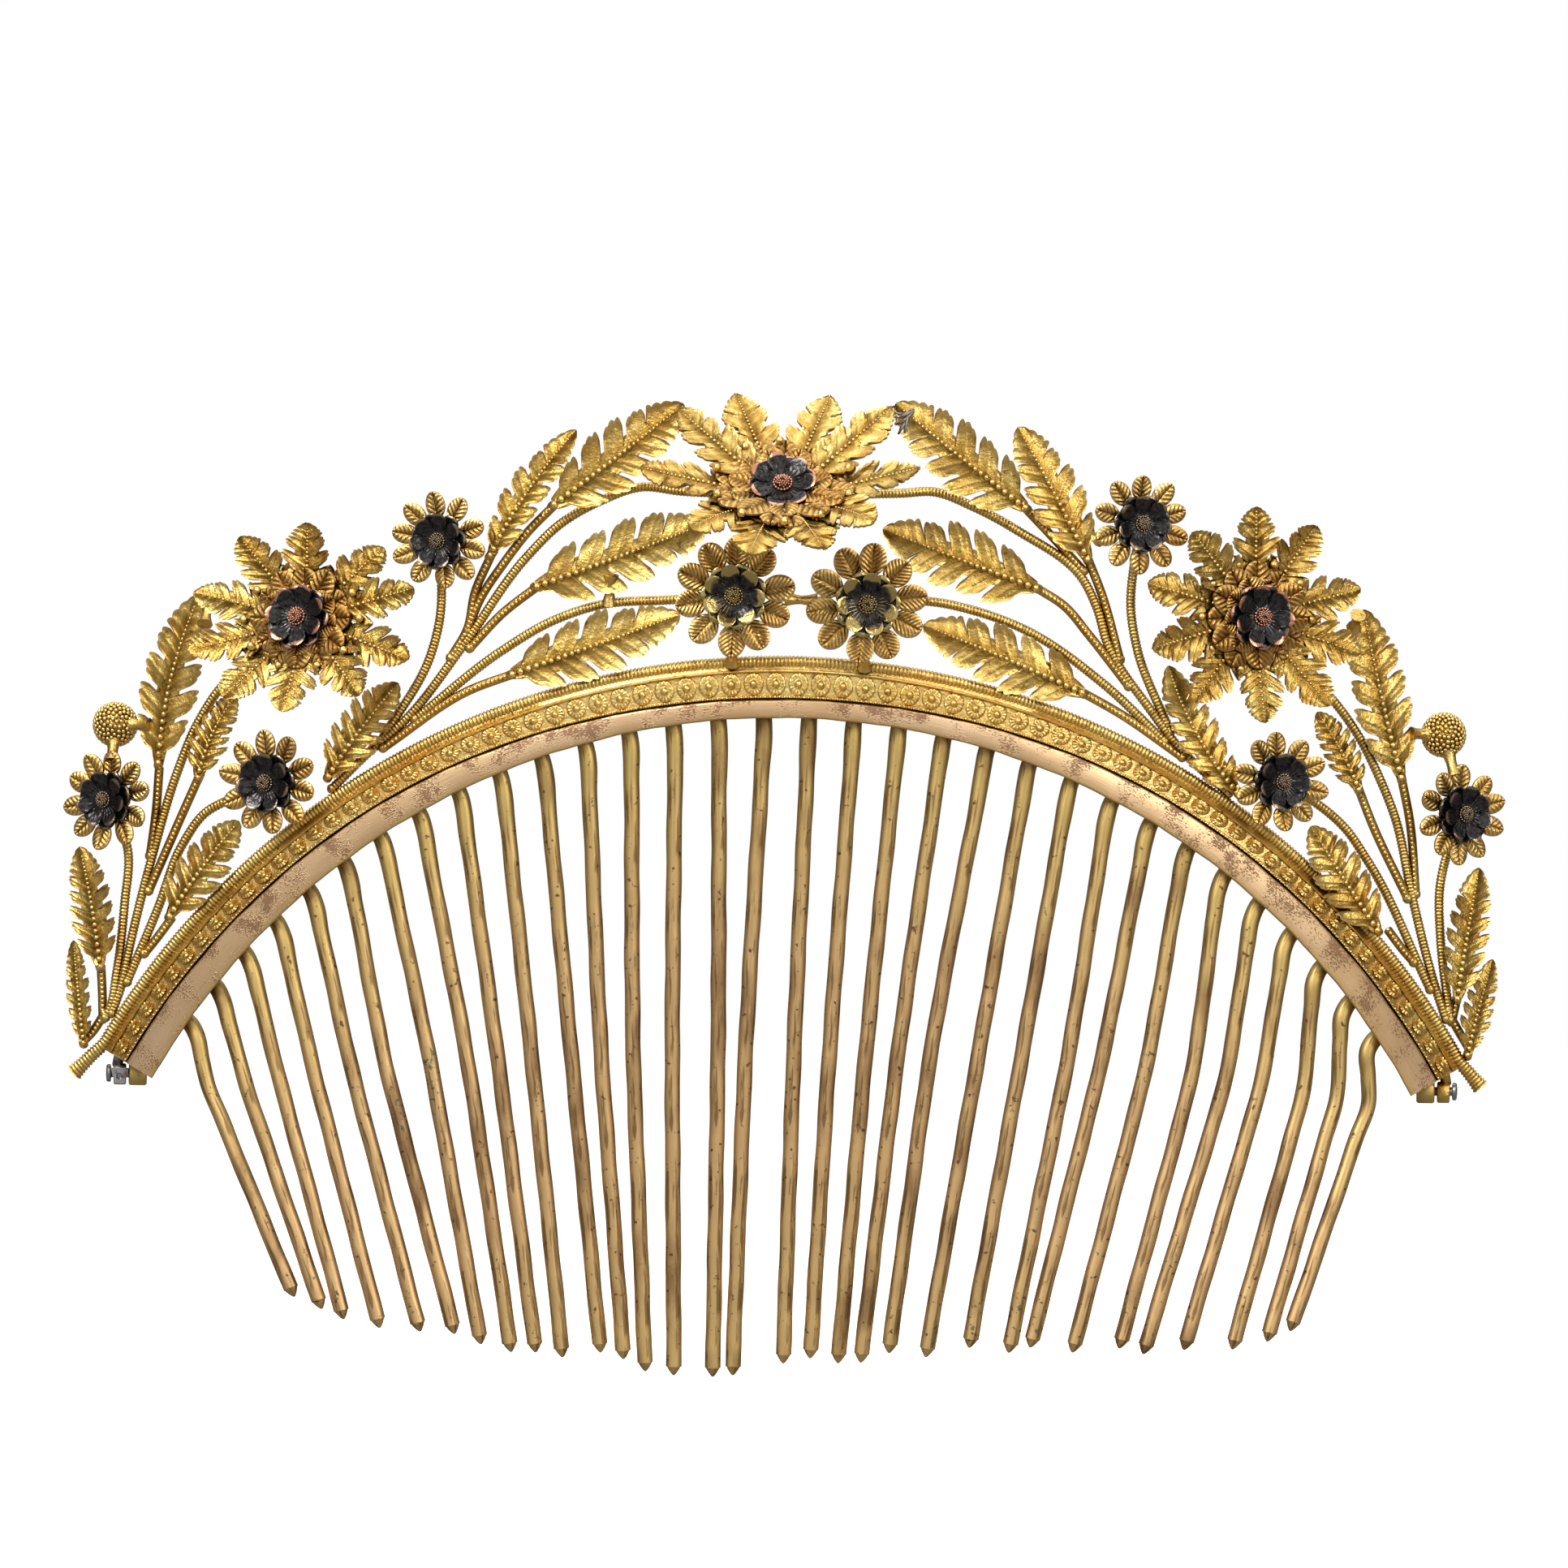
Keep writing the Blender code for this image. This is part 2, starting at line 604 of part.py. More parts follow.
def build_small_flower(label, x, z, radius):
    """A ten-petal gilt rosette on a post, and a black blossom with its boss."""
    petals = petal_disc("rosette_" + label, 10, radius * 0.55, radius, 6.0, ROSETTE_THICK, 4, "copper_gilt")
    post_foot = STEM_LIFT + STEM_RADIUS + GAP - SMALL_LIFT
    post = round_boss("post", 1.0, post_foot, 0.1, "copper_gilt")
    petals = join_solids(petals, [post])
    frame = facing(x, z, SMALL_LIFT, 0.0)
    petals.matrix_world = frame
    build_blossom("blossom_" + label, radius * 0.6, BLOSSOM_CUP, frame, SMALL_BLOSSOM_RISE)


def build_blossom(name, radius, cup, frame, rise):
    """A black cupped blossom with a domed boss, standing on a flower's rosette."""
    blossom = petal_disc(name, 8, radius * 0.79, radius, cup, BLOSSOM_THICK, 3, "black_patina")
    boss = round_boss("boss", radius * 0.27, -0.2, 1.3, "black_patina")
    blossom = join_solids(blossom, [boss])
    blossom.matrix_world = frame @ Matrix.Translation((0.0, 0.0, rise * MM))


def build_large_flower(label, x, z, radius, tilt, cup, spin, extra):
    """A ten-leaf rosette, a ring of bumpy petals and a black blossom, all on one axis."""
    lift = LARGE_LIFT + extra
    frame = facing(x, z, lift, tilt)
    leaves = petal_disc("leaf_rosette_" + label, 10, radius * 0.45, radius, cup, ROSETTE_THICK, 6, "gilt")
    foot = STEM_LIFT + STEM_RADIUS + GAP - lift
    post = round_boss("post", 1.2, foot, 0.0, "gilt")
    straight_back = Matrix.Rotation(math.radians(tilt), 4, "X")
    turned = Matrix.Rotation(math.radians(spin), 4, "Z")
    post.matrix_world = turned.inverted() @ straight_back @ post.matrix_world
    bpy.context.view_layer.update()
    leaves = join_solids(leaves, [post])
    frame = frame @ turned
    leaves.matrix_world = frame
    ring = petal_disc("petal_ring_" + label, 12, radius * 0.42, radius * 0.5, cup, RING_THICK, 3,
                      "copper_gilt")
    ring.matrix_world = frame @ Matrix.Translation((0.0, 0.0, RING_RISE * MM))
    build_blossom("blossom_large_" + label, LARGE_BLOSSOM_RADIUS, max(cup, BLOSSOM_CUP), frame,
                  LARGE_BLOSSOM_RISE)


def build_berry(label, x, z):
    mesh = bpy.data.meshes.new("berry_" + label)
    work = bmesh.new()
    bmesh.ops.create_uvsphere(work, u_segments=12, v_segments=8, radius=BERRY_RADIUS * MM)
    work.to_mesh(mesh)
    work.free()
    berry = add_object("berry_" + label, mesh, "gilt")
    berry.location = on_head(x, z, BERRY_LIFT)


def smooth_round_pieces():
    """Shade every piece smooth, but keep its real edges sharp."""
    for item in PARTS.objects:
        item.data.shade_smooth()
        item.data.set_sharp_from_angle(angle=math.radians(35))


clear_scene()
PARTS = make_collection("decorative_hair_comb")
CUTTERS = make_collection("cutters")
MATERIALS = {
    "gilt": make_material("gilt", (0.62, 0.37, 0.09), 0.32),
    "copper_gilt": make_material("copper_gilt", (0.45, 0.22, 0.07), 0.38),
    "pink_gold": make_material("pink_gold", (0.64, 0.42, 0.27), 0.42),
    "tooth_brass": make_material("tooth_brass", (0.56, 0.38, 0.18), 0.4),
    "black_patina": make_material("black_patina", (0.03, 0.03, 0.03), 0.4),
    "steel": make_material("steel", (0.4, 0.4, 0.4), 0.4),
}

arch_loft("comb_bar", bar_section, -BAR_END, BAR_END, 32, "pink_gold")
build_tooth_row(-1, "tooth_row_left")
build_tooth_row(1, "tooth_row_right")
arch_loft("rosette_band", band_section, -BAND_END, BAND_END, 36, "gilt")
build_edging()
build_hinge(-1, "left")
build_hinge(1, "right")
for spray_name, spray_stems in SPRAYS.items():
    build_spray(spray_name, spray_stems)
for leaf_name, leaf_shape in LEAVES.items():
    build_leaf(leaf_name, *leaf_shape)
for flower, place in SMALL_FLOWERS.items():
    build_small_flower(flower, *place)
for flower, place in LARGE_FLOWERS.items():
    build_large_flower(flower, *place)
for berry_label, place in BERRIES.items():
    build_berry(berry_label, *place)
smooth_round_pieces()
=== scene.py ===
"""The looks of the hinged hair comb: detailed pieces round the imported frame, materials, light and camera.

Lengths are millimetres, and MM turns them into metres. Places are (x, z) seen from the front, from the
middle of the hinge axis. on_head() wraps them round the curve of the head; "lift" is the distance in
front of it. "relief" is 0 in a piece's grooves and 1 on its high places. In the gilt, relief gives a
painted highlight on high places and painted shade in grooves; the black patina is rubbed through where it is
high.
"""
import json
import math
import random

import bmesh
import bpy
import numpy as np
from mathutils import Matrix, Vector


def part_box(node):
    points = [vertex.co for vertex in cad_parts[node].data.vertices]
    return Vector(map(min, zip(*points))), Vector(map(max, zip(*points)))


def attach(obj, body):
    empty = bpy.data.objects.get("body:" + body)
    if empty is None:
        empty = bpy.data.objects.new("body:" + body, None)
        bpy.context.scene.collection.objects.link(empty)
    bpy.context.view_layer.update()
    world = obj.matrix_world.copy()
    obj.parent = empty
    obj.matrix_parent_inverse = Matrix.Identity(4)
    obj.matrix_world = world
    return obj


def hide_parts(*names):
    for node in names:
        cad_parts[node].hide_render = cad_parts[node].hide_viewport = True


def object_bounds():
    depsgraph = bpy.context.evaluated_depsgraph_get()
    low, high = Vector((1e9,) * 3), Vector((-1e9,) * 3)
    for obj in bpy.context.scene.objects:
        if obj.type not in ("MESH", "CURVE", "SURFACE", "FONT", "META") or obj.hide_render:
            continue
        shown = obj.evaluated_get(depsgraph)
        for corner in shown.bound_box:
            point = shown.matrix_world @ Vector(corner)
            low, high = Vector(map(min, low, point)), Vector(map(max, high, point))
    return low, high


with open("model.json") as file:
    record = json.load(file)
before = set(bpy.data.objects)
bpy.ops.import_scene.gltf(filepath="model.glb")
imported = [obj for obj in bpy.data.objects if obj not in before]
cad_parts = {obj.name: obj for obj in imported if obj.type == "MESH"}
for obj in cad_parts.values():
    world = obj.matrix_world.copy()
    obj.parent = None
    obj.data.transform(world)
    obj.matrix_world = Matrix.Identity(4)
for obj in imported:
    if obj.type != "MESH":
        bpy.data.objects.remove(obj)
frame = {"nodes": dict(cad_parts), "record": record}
CAD_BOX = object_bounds()
MM = 0.001
DICE = random.Random(11)
SIDES = {"left": -1, "right": 1}

# The arch: radii from its centre, and angles from its top in degrees
HINGE = Vector(frame["record"]["behaviour"]["joints"][0]["pos_m"])
HEAD_RADIUS = 140.0
AXIS_X = 73.9             # middle of each lug
HEAD_CENTRE_Y = math.sqrt(HEAD_RADIUS ** 2 - AXIS_X ** 2)
ARCH_CENTRE_Z = -40.7
BAR_INNER = 81.3
BAR_WIDTH = 2.0
BAR_FLARE = 0.9           # how much higher the bar is at the sides
FLARE_END = 40.0          # the angle where it has its full height
BAR_SPREAD = 0.45         # how much lower its inner edge is at the ends
BAR_END = 60.2
BAR_FLANGE = 0.7
RAIL_END = 59.7
RAIL_SPLIT = 0.15
BAND_END = 60.2
BAND_OUTER = 86.6
EDGING_RADIUS = 87.5
EDGING_TAILS = {-1: (-79.0, 0.0), 1: (78.0, 0.6)}
GAP = 0.3                 # between rail and bar
SEAM = 0.14               # between bar and band

# Layers, as lift
BAR_BACK = -0.3
BAR_PLATE = (2.2, 3.1)
RAIL_LAYER = (-0.2, 1.8)
BAND_LAYER = (0.8, 2.2)
BAND_LIP = (-1.05, -0.65)  # a lip of the band behind the bar
STEM_LIFT = 1.3
LEAF_LIFT = 2.3
LEAF_STEP = 0.95          # how much further forward some leaves lie

# Hinge: thickness, outer radius and hole of the comb's eye and the crest's lug
EYE = (2.0, 1.35, 0.8)
LUG = (1.4, 1.2, 0.7)
EYE_X = 71.9
PIN_START = 71.2
PIN_PROFILE = ((0.0, 0.3), (0.1, 0.5), (3.65, 0.5), (3.7, 0.95), (3.8, 1.0), (4.05, 1.0), (4.2, 0.85),
               (4.25, 0.4))

# Teeth, from left to right: place across at the waist, and the tip
TOOTH_RADIUS = 0.87
TOOTH_FIRST = -54.9       # angle of the first tooth's root, and the step to the next
TOOTH_STEP = 3.54
TOOTH_LIFT = 0.8
TOOTH_BOW = 4.0           # how far back the longest tips curve
TOOTH_DROP = 72.0         # from the highest shoulder to the lowest tip
WAIST_Z = -1.4
TEETH = (
    (-63.8, -53.9, -24.5), (-59.5, -50.8, -25.8), (-55.6, -48.3, -26.9), (-51.5, -44.3, -27.8),
    (-47.2, -39.8, -28.1), (-43.3, -35.9, -28.3), (-38.4, -33.0, -29.4), (-34.3, -29.6, -30.2),
    (-31.0, -26.9, -30.2), (-27.3, -23.9, -30.7), (-22.9, -19.7, -30.1), (-19.7, -17.1, -30.8),
    (-16.3, -14.7, -32.1), (-12.1, -11.5, -32.5), (-7.1, -7.2, -32.6), (-4.2, -5.0, -32.4),
    (1.2, 0.6, -31.0), (5.0, 3.6, -30.4), (8.9, 6.7, -30.9), (12.3, 9.2, -30.8),
    (15.8, 12.3, -29.7), (21.0, 16.4, -30.1), (25.8, 21.2, -29.0), (30.9, 25.6, -29.5),
    (34.5, 28.0, -28.9), (39.6, 32.7, -29.4), (44.9, 37.9, -28.9), (48.7, 40.6, -29.5),
    (52.8, 45.1, -29.0), (57.8, 50.5, -28.9), (61.7, 54.4, -28.0), (65.4, 57.0, -26.8),
)
# The blunt point: distance from the tip, and share of the tooth's radius
TOOTH_POINT = ((1.25, 0.97), (0.95, 0.86), (0.55, 0.62), (0.2, 0.34), (0.0, 0.12))

# Stems: "coil" stems carry flowers and "bead" stems carry leaves
SPRAYS = {
    "stem_spray_inner_left": (
        ("coil", ((-6.0, 65.4), (-12.0, 65.6), (-16.5, 66.0), (-21.0, 64.4), (-25.4, 61.8), (-29.0, 58.2),
                  (-36.0, 48.2), (-42.2, 40.0), (-46.7, 35.9), (-51.6, 30.9))),
        ("bead", ((-25.9, 64.1), (-29.0, 60.9), (-31.7, 57.3), (-34.3, 53.2), (-35.6, 49.8))),
        ("bead", ((-33.0, 58.4), (-34.8, 54.1), (-35.6, 50.0), (-37.4, 46.8))),
        ("bead", ((-27.8, 54.9), (-31.6, 51.9), (-35.3, 47.9))),
        ("coil", ((-6.0, 54.0), (-13.6, 53.5), (-20.8, 52.9), (-26.2, 51.0), (-31.5, 47.8), (-41.3, 39.9))),
        ("bead", ((-30.4, 45.1), (-35.1, 43.3), (-44.8, 36.7))),
        ("coil", ((-38.7, 59.7), (-38.8, 50.4), (-39.6, 47.2), (-45.1, 37.4))),
    ),
    "stem_spray_outer_left": (
        ("coil", ((-56.5, 47.6), (-62.5, 43.8), (-65.6, 39.2), (-67.8, 33.8), (-70.4, 24.8), (-72.9, 14.4),
                  (-73.8, 9.9), (-75.2, 5.6))),
        ("bead", ((-69.9, 34.2), (-70.2, 29.3), (-70.8, 24.3))),
        ("bead", ((-65.4, 33.2), (-67.1, 29.3), (-70.9, 20.4))),
        ("coil", ((-57.4, 32.6), (-61.5, 30.9), (-64.6, 29.2), (-67.1, 25.7), (-69.8, 18.5), (-73.2, 10.2))),
        ("bead", ((-68.2, 17.5), (-70.1, 14.9), (-71.3, 13.4))),
        ("coil", ((-75.0, 29.6), (-73.3, 24.7), (-73.6, 19.0), (-74.4, 11.2), (-75.2, 7.0), (-75.6, 6.2))),
        ("bead", ((-76.2, 12.0), (-76.0, 8.9), (-75.9, 6.0))),
        ("bead", ((-78.0, 3.5), (-77.3, 4.2), (-75.7, 6.6))),
    ),
    "stem_spray_inner_right": (
        ("coil", ((5.0, 65.5), (12.5, 65.7), (15.9, 65.9), (20.4, 64.3), (25.4, 61.7), (32.7, 56.4),
                  (34.3, 53.2), (35.4, 49.6), (40.6, 41.8), (43.5, 38.1), (49.9, 32.3))),
        ("bead", ((26.0, 64.4), (29.5, 60.8), (32.7, 57.4))),
        ("bead", ((33.1, 58.9), (34.7, 55.0), (36.9, 47.6))),
        ("bead", ((27.4, 55.5), (30.7, 53.4), (33.4, 50.3), (37.9, 44.7))),
        ("coil", ((8.7, 53.3), (16.1, 53.7), (20.6, 52.8), (26.0, 50.9), (35.1, 44.9), (42.0, 38.6))),
        ("bead", ((32.6, 44.0), (37.0, 41.6), (44.0, 36.9))),
        ("coil", ((38.9, 62.7), (38.1, 52.4), (38.8, 48.8), (42.6, 39.7))),
    ),
    "stem_spray_outer_right": (
        ("coil", ((55.5, 48.4), (61.2, 43.0), (63.8, 39.4), (66.0, 35.2), (67.9, 30.7), (70.0, 21.8),
                  (72.6, 12.2), (74.0, 8.1))),
        ("bead", ((68.6, 35.0), (69.6, 30.3), (70.4, 22.0))),
        ("bead", ((63.7, 33.9), (65.5, 29.5), (69.5, 21.5))),
        ("coil", ((54.8, 34.3), (58.9, 32.1), (62.3, 29.3), (64.9, 25.7), (72.2, 11.4))),
        ("bead", ((67.3, 18.0), (69.2, 15.6), (70.3, 14.4))),
        ("coil", ((75.2, 31.0), (73.1, 22.4), (73.3, 16.9), (74.5, 8.0))),
        ("bead", ((75.3, 10.6), (74.7, 7.8))),
        ("bead", ((76.6, 5.0), (75.6, 6.6), (74.2, 9.0))),
    ),
}
STEM_RADIUS = 0.52
STEM_LIMIT = 88.6         # stems end at this radius, on the edging
COIL_PITCH = 0.38
EDGING_PITCH = 0.44
BEAD_PITCH = 0.5

# Leaves. fine is the number of cross lines in a lobe, depth the share of the half width that stays
# whole between lobes, and slit the share of each lobe that is cut away beside the next
LEAF_KINDS = ("outer", "fork", "band", "end", "foot", "root", "slim", "top", "upper", "lower")
SERRATE_LEAVES = ("fork", "end", "foot", "root")
FORWARD_LEAVES = ("end", "top")
BROAD = {"lobes": 4, "fine": 16, "depth": 0.42, "slit": 0.13}
SERRATE = {"lobes": 5, "fine": 12, "depth": 0.5, "slit": 0.2}
FLOWER_LEAF = {"lobes": 3, "fine": 12, "depth": 0.5, "slit": 0.2}
LEAF_SPREAD = 1.14        # full width, against the CAD leaf's
LEAF_SLANT = math.radians(57.0)
LEAF_THICK = 0.28
LOBES_START, LOBES_END = 0.04, 0.72
BLADE_COLUMNS = (0.0, 0.1, 0.28, 0.48, 0.66, 0.82, 0.93, 1.0)

# Flowers. The middle small ones are larger, with gold worn through the black
SMALL_FLOWERS = ("end_left", "low_left", "high_left", "middle_left",
                 "middle_right", "high_right", "low_right", "end_right")
# Large flowers: cup and spin of the leaves, and how far the blossom nods forward on its post, in degrees
LARGE_FLOWERS = {"left": (8.0, 0.0, 0.0), "right": (4.0, 0.0, 0.0), "centre": (18.0, 18.0, 18.0)}
ROSETTE_STRETCH = {"left": (1.16, 0.93), "right": (1.1, 1.02), "centre": (1.03, 0.98)}
SMALL_CUP = math.radians(6.0)
HANGING_DROOP = 1.7       # how far the tips of the centre flower's lower leaves sink
PETAL_SLANT = math.radians(52.0)
PETAL_THICK = 0.25
PETAL_COLUMNS = (0.0, 0.12, 0.35, 0.6, 0.85, 1.0)
GOLDEN = 2.39996          # the golden angle, which spreads grains evenly

# Sunbursts of the band: share of the reach, height of the rays and of the valleys, and relief, which the
# gilt paints as highlight on high rings and shade on low ones
SUNBURST = ((0.17, 0.44, 0.44, 1.0), (0.3, 0.3, 0.3, 0.9), (0.37, 0.15, 0.13, 0.6), (0.46, 0.17, 0.1, 0.85),
            (0.78, 0.23, 0.1, 1.0), (0.94, 0.18, 0.07, 0.9), (1.0, 0.02, -0.04, 0.6))
SUNBURST_TOP = 0.48
SUNBURST_REACH = 1.12     # half its length along the band
SUNBURST_RAYS = 15
SUNBURSTS = 72
BAND_BEADS = 330

# Bridges of solder between neighbouring stems, leaves and flowers: (x, z, lift) of both ends
SOLDER = {
    "stem_spray_inner_left": (
        ((-6.2, 65.4, 1.3), (-0.6, 64.8, 1.6)), ((-19.7, 56.2, 2.2), (-19.9, 52.9, 1.4)),
        ((-6.0, 48.4, 3.6), (-6.2, 46.6, 1.6)),
    ),
    "stem_spray_inner_right": (
        ((5.4, 65.5, 1.3), (-1.0, 64.8, 1.6)), ((8.6, 47.9, 3.6), (8.5, 46.4, 1.6)),
        ((-0.4, 53.8, 4.2), (3.2, 53.6, 4.2)), ((34.2, 60.9, 2.3), (35.4, 61.6, 3.9)),
    ),
    "stem_spray_outer_left": (((-64.6, 52.4, 2.4), (-64.9, 50.2, 4.2)),),
    "stem_spray_outer_right": (((63.0, 51.6, 2.4), (63.4, 53.0, 4.2)),),
}
SOLDER_RADIUS = 0.7
# Loops of repair wire round the tip of one leaf: (x, z, lift, half width, half depth, turn in degrees)
WIRE_LEAF = "leaf_top_right"
WIRE_RADIUS = 0.13
WIRE_LOOPS = (
    (12.4, 74.6, 3.4, 1.15, 0.9, 15), (12.6, 74.1, 3.4, 1.2, 0.95, 35), (12.1, 74.9, 3.4, 1.1, 0.9, -8),
    (12.8, 73.3, 4.3, 0.9, 0.25, 80), (12.3, 72.9, 4.2, 0.7, 0.3, 60),
)
# Where each berry is soldered: on the flower below and on the leaf beside it
BERRY_FEET = {
    "left": ((-75.2, 34.8, 4.4), (-71.0, 38.9, 2.4)),
    "right": ((74.6, 35.2, 4.4), (69.6, 39.9, 2.4)),
}
BERRY_GRAINS = 230

# The view, in millimetres and degrees, and the studio: lamps as (name, place, size, watts), in metres
CAMERA_DISTANCE = 3000.0
VIEW_WIDTH = 173.9
VIEW_CENTRE = (-0.2, 33.3)
VIEW_ROLL = 0.8
STUDIO_DARK = 0.1
STUDIO_FRONT = 1.0
STUDIO_TOP = 0.6
LAMPS = (
    ("key", (-0.5, -0.8, 0.8), (0.4, 0.4), 8.0),
    ("fill", (0.7, -0.8, 0.4), (0.3, 0.5), 3.0),
    ("top", (0.0, 0.1, 0.9), (0.9, 0.5), 3.0),
)
LAMP_TARGET = (0.0, 0.0, 0.06)
FLOOR_SIZE = 8.0
FLOOR_DROP = 0.0004


# ---------------------------------------------------------------- places

def from_hinge(x, y, z):
    """World place, in metres, of a point measured from the middle of the hinge axis."""
    return HINGE + Vector((x, y, z)) * MM


def on_head(x, z, lift):
    """World place, in metres, of a front-view place wrapped round the head."""
    turn = math.asin(x / (HEAD_RADIUS + lift))
    return from_hinge(x, HEAD_CENTRE_Y - (HEAD_RADIUS + lift) * math.cos(turn), z)


def on_arch(radius, degrees, lift):
    angle = math.radians(degrees)
    return on_head(radius * math.sin(angle), ARCH_CENTRE_Z + radius * math.cos(angle), lift)


def in_flower(matrix, radius, angle, height):
    """World place of a point in a flower's own frame, at an angle from its Y."""
    return matrix @ (Vector((radius * math.sin(angle), radius * math.cos(angle), height)) * MM)


def on_axis(matrix, *heights):
    """World places along a flower's axis."""
    return [in_flower(matrix, 0.0, 0.0, height) for height in heights]


def circle(count):
    """Equally spaced angles round a circle."""
    return [2 * math.pi * step / count for step in range(count)]


def between(start, end, steps):
    """Places at equal steps from one to the other."""
    return [start.lerp(end, step / steps) for step in range(steps + 1)]


def arch_radius(point):
    return math.hypot(point[0], point[1] - ARCH_CENTRE_Z)


def bar_inner(degrees):
    return BAR_INNER - BAR_SPREAD * (degrees / BAR_END) ** 2


def bar_outer(degrees):
    share = min(1.0, abs(degrees) / FLARE_END)
    return BAR_INNER + BAR_WIDTH + BAR_FLARE * math.sin(share * math.pi / 2) ** 2


def even_slope(before, here, after):
    """Slope of a smooth curve at its middle point, weighed by the spans on both sides."""
    back = np.linalg.norm(here - before)
    ahead = np.linalg.norm(after - here)
    return ((here - before) / back * ahead + (after - here) / ahead * back) / (back + ahead)


def smooth_line(points, step):
    """Points at equal steps along a smooth curve through the given ones, which have any dimension."""
    points = [np.array(point, float) for point in points]
    points = [2 * points[0] - points[1], *points, 2 * points[-1] - points[-2]]
    fine = []
    for before, start, end, after in zip(points, points[1:], points[2:], points[3:]):
        span = np.linalg.norm(end - start)
        leave = even_slope(before, start, end) * span
        arrive = even_slope(start, end, after) * span
        for share in np.linspace(0.0, 1.0, 24, endpoint=False):
            square, cube = share ** 2, share ** 3
            fine.append(start * (2 * cube - 3 * square + 1) + leave * (cube - 2 * square + share)
                        + end * (3 * square - 2 * cube) + arrive * (cube - square))
    fine = np.array([*fine, points[-2]])
    run = np.concatenate(([0.0], np.cumsum(np.linalg.norm(np.diff(fine, axis=0), axis=1))))
    wanted = np.linspace(0.0, run[-1], max(2, int(round(run[-1] / step)) + 1))
    return np.stack([np.interp(wanted, run, column) for column in fine.T], axis=1)


def cad_points(node):
    return np.array([vertex.co for vertex in frame["nodes"][node].data.vertices])


def flower_frame(blossom, disc, cup):
    """Frame and radius of a flower: on the axis of its blossom, where the disc's petals meet.
    Its own Z points out of the flower, and cup is the forward bend of the disc's petals."""
    points = cad_points(blossom)
    centre = points.mean(axis=0)
    normal = Vector(np.linalg.svd(points - centre)[2][2])
    if normal.y > 0:
        normal.negate()
    side = Vector((0.0, 0.0, 1.0)).cross(normal).normalized()
    facing = Matrix((side, normal.cross(side), normal)).transposed().to_4x4()
    away = cad_points(disc) - centre
    reaches = np.linalg.norm(np.cross(away, normal), axis=1)
    tips = (away @ np.array(normal))[reaches > 0.93 * reaches.max()]
    reach = reaches.max() / MM
    rise = tips.mean() - math.tan(cup) * reach * MM
    return Matrix.Translation(Vector(centre) + normal * rise) @ facing, reach


def leaf_line(node):
    """Base, middle and tip of a CAD leaf's midrib, and its width, seen from the front."""
    points = (cad_points(node) - np.array(HINGE))[:, (0, 2)] / MM
    spread = np.linalg.norm(points[:, None] - points[None], axis=2)
    first, second = np.unravel_index(spread.argmax(), spread.shape)
    base, tip = sorted((points[first], points[second]), key=lambda point: point[1])
    along = (tip - base) / np.linalg.norm(tip - base)
    across = np.array((-along[1], along[0]))
    shares = (points - base) @ along / np.linalg.norm(tip - base)
    offsets = (points - base) @ across
    central = offsets[(shares > 0.25) & (shares < 0.75)]
    bend = (central.max() + central.min()) / 2
    return base, (base + tip) / 2 + across * bend, tip, central.max() - central.min()


# ---------------------------------------------------------------- mesh building

class Sheet:
    """Collects the points and faces of one piece. flow is a place along and round the piece, for marks
    that follow its shape."""

    def __init__(self):
        self.points, self.faces, self.relief, self.flow, self.skins = [], [], [], [], []

    def add(self, points, faces, relief, flow=None, skin=0):
        start = len(self.points)
        self.points.extend(points)
        self.faces.extend([tuple(start + corner for corner in face) for face in faces])
        self.relief.extend(spread(relief, len(points)))
        self.flow.extend(flow or [(0.0, 0.0, 0.0)] * len(points))
        self.skins.extend([skin] * len(faces))

    def finish(self, name, node, *materials, slot=None, body="crest", sharp=50.0):
        """Makes the piece, which stands for a CAD node and rides with its body."""
        mesh = bpy.data.meshes.new(name)
        mesh.from_pydata([tuple(point) for point in self.points], [], self.faces)
        mesh.attributes.new("relief", "FLOAT", "POINT").data.foreach_set("value", self.relief)
        flow = np.array(self.flow, dtype=np.float32).ravel()
        mesh.attributes.new("flow", "FLOAT_VECTOR", "POINT").data.foreach_set("vector", flow)
        for material in materials:
            mesh.materials.append(MATERIALS[material])
        mesh.polygons.foreach_set("material_index", self.skins)
        mesh.update()
        mesh.shade_smooth()
        mesh.set_sharp_from_angle(angle=math.radians(sharp))
        piece = bpy.data.objects.new(name, mesh)
        bpy.context.scene.collection.objects.link(piece)
        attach(piece, body)
        slot or materials[0]
        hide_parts(node)


def spread(value, count):
    """The list itself, or one value repeated."""
    return value if isinstance(value, list) else [value] * count


def join_rings(near, far, count):
    """Faces between two rings of points that start at the given numbers."""
    faces = []
    for step in range(count):
        after = (step + 1) % count
        faces.append((near + step, near + after, far + after, far + step))
    return faces


def unit_sphere(subdivisions):
    work = bmesh.new()
    bmesh.ops.create_icosphere(work, subdivisions=subdivisions, radius=1.0)
    points = np.array([vertex.co for vertex in work.verts])
    faces = [tuple(vertex.index for vertex in face.verts) for face in work.faces]
    work.free()
    return points, faces


BEAD = unit_sphere(2)
GRAIN = unit_sphere(1)


def bead(sheet, centre, radius, shape=BEAD, relief=1.0):
    points, faces = shape
    sheet.add(points * radius * MM + np.array(centre), faces, relief)


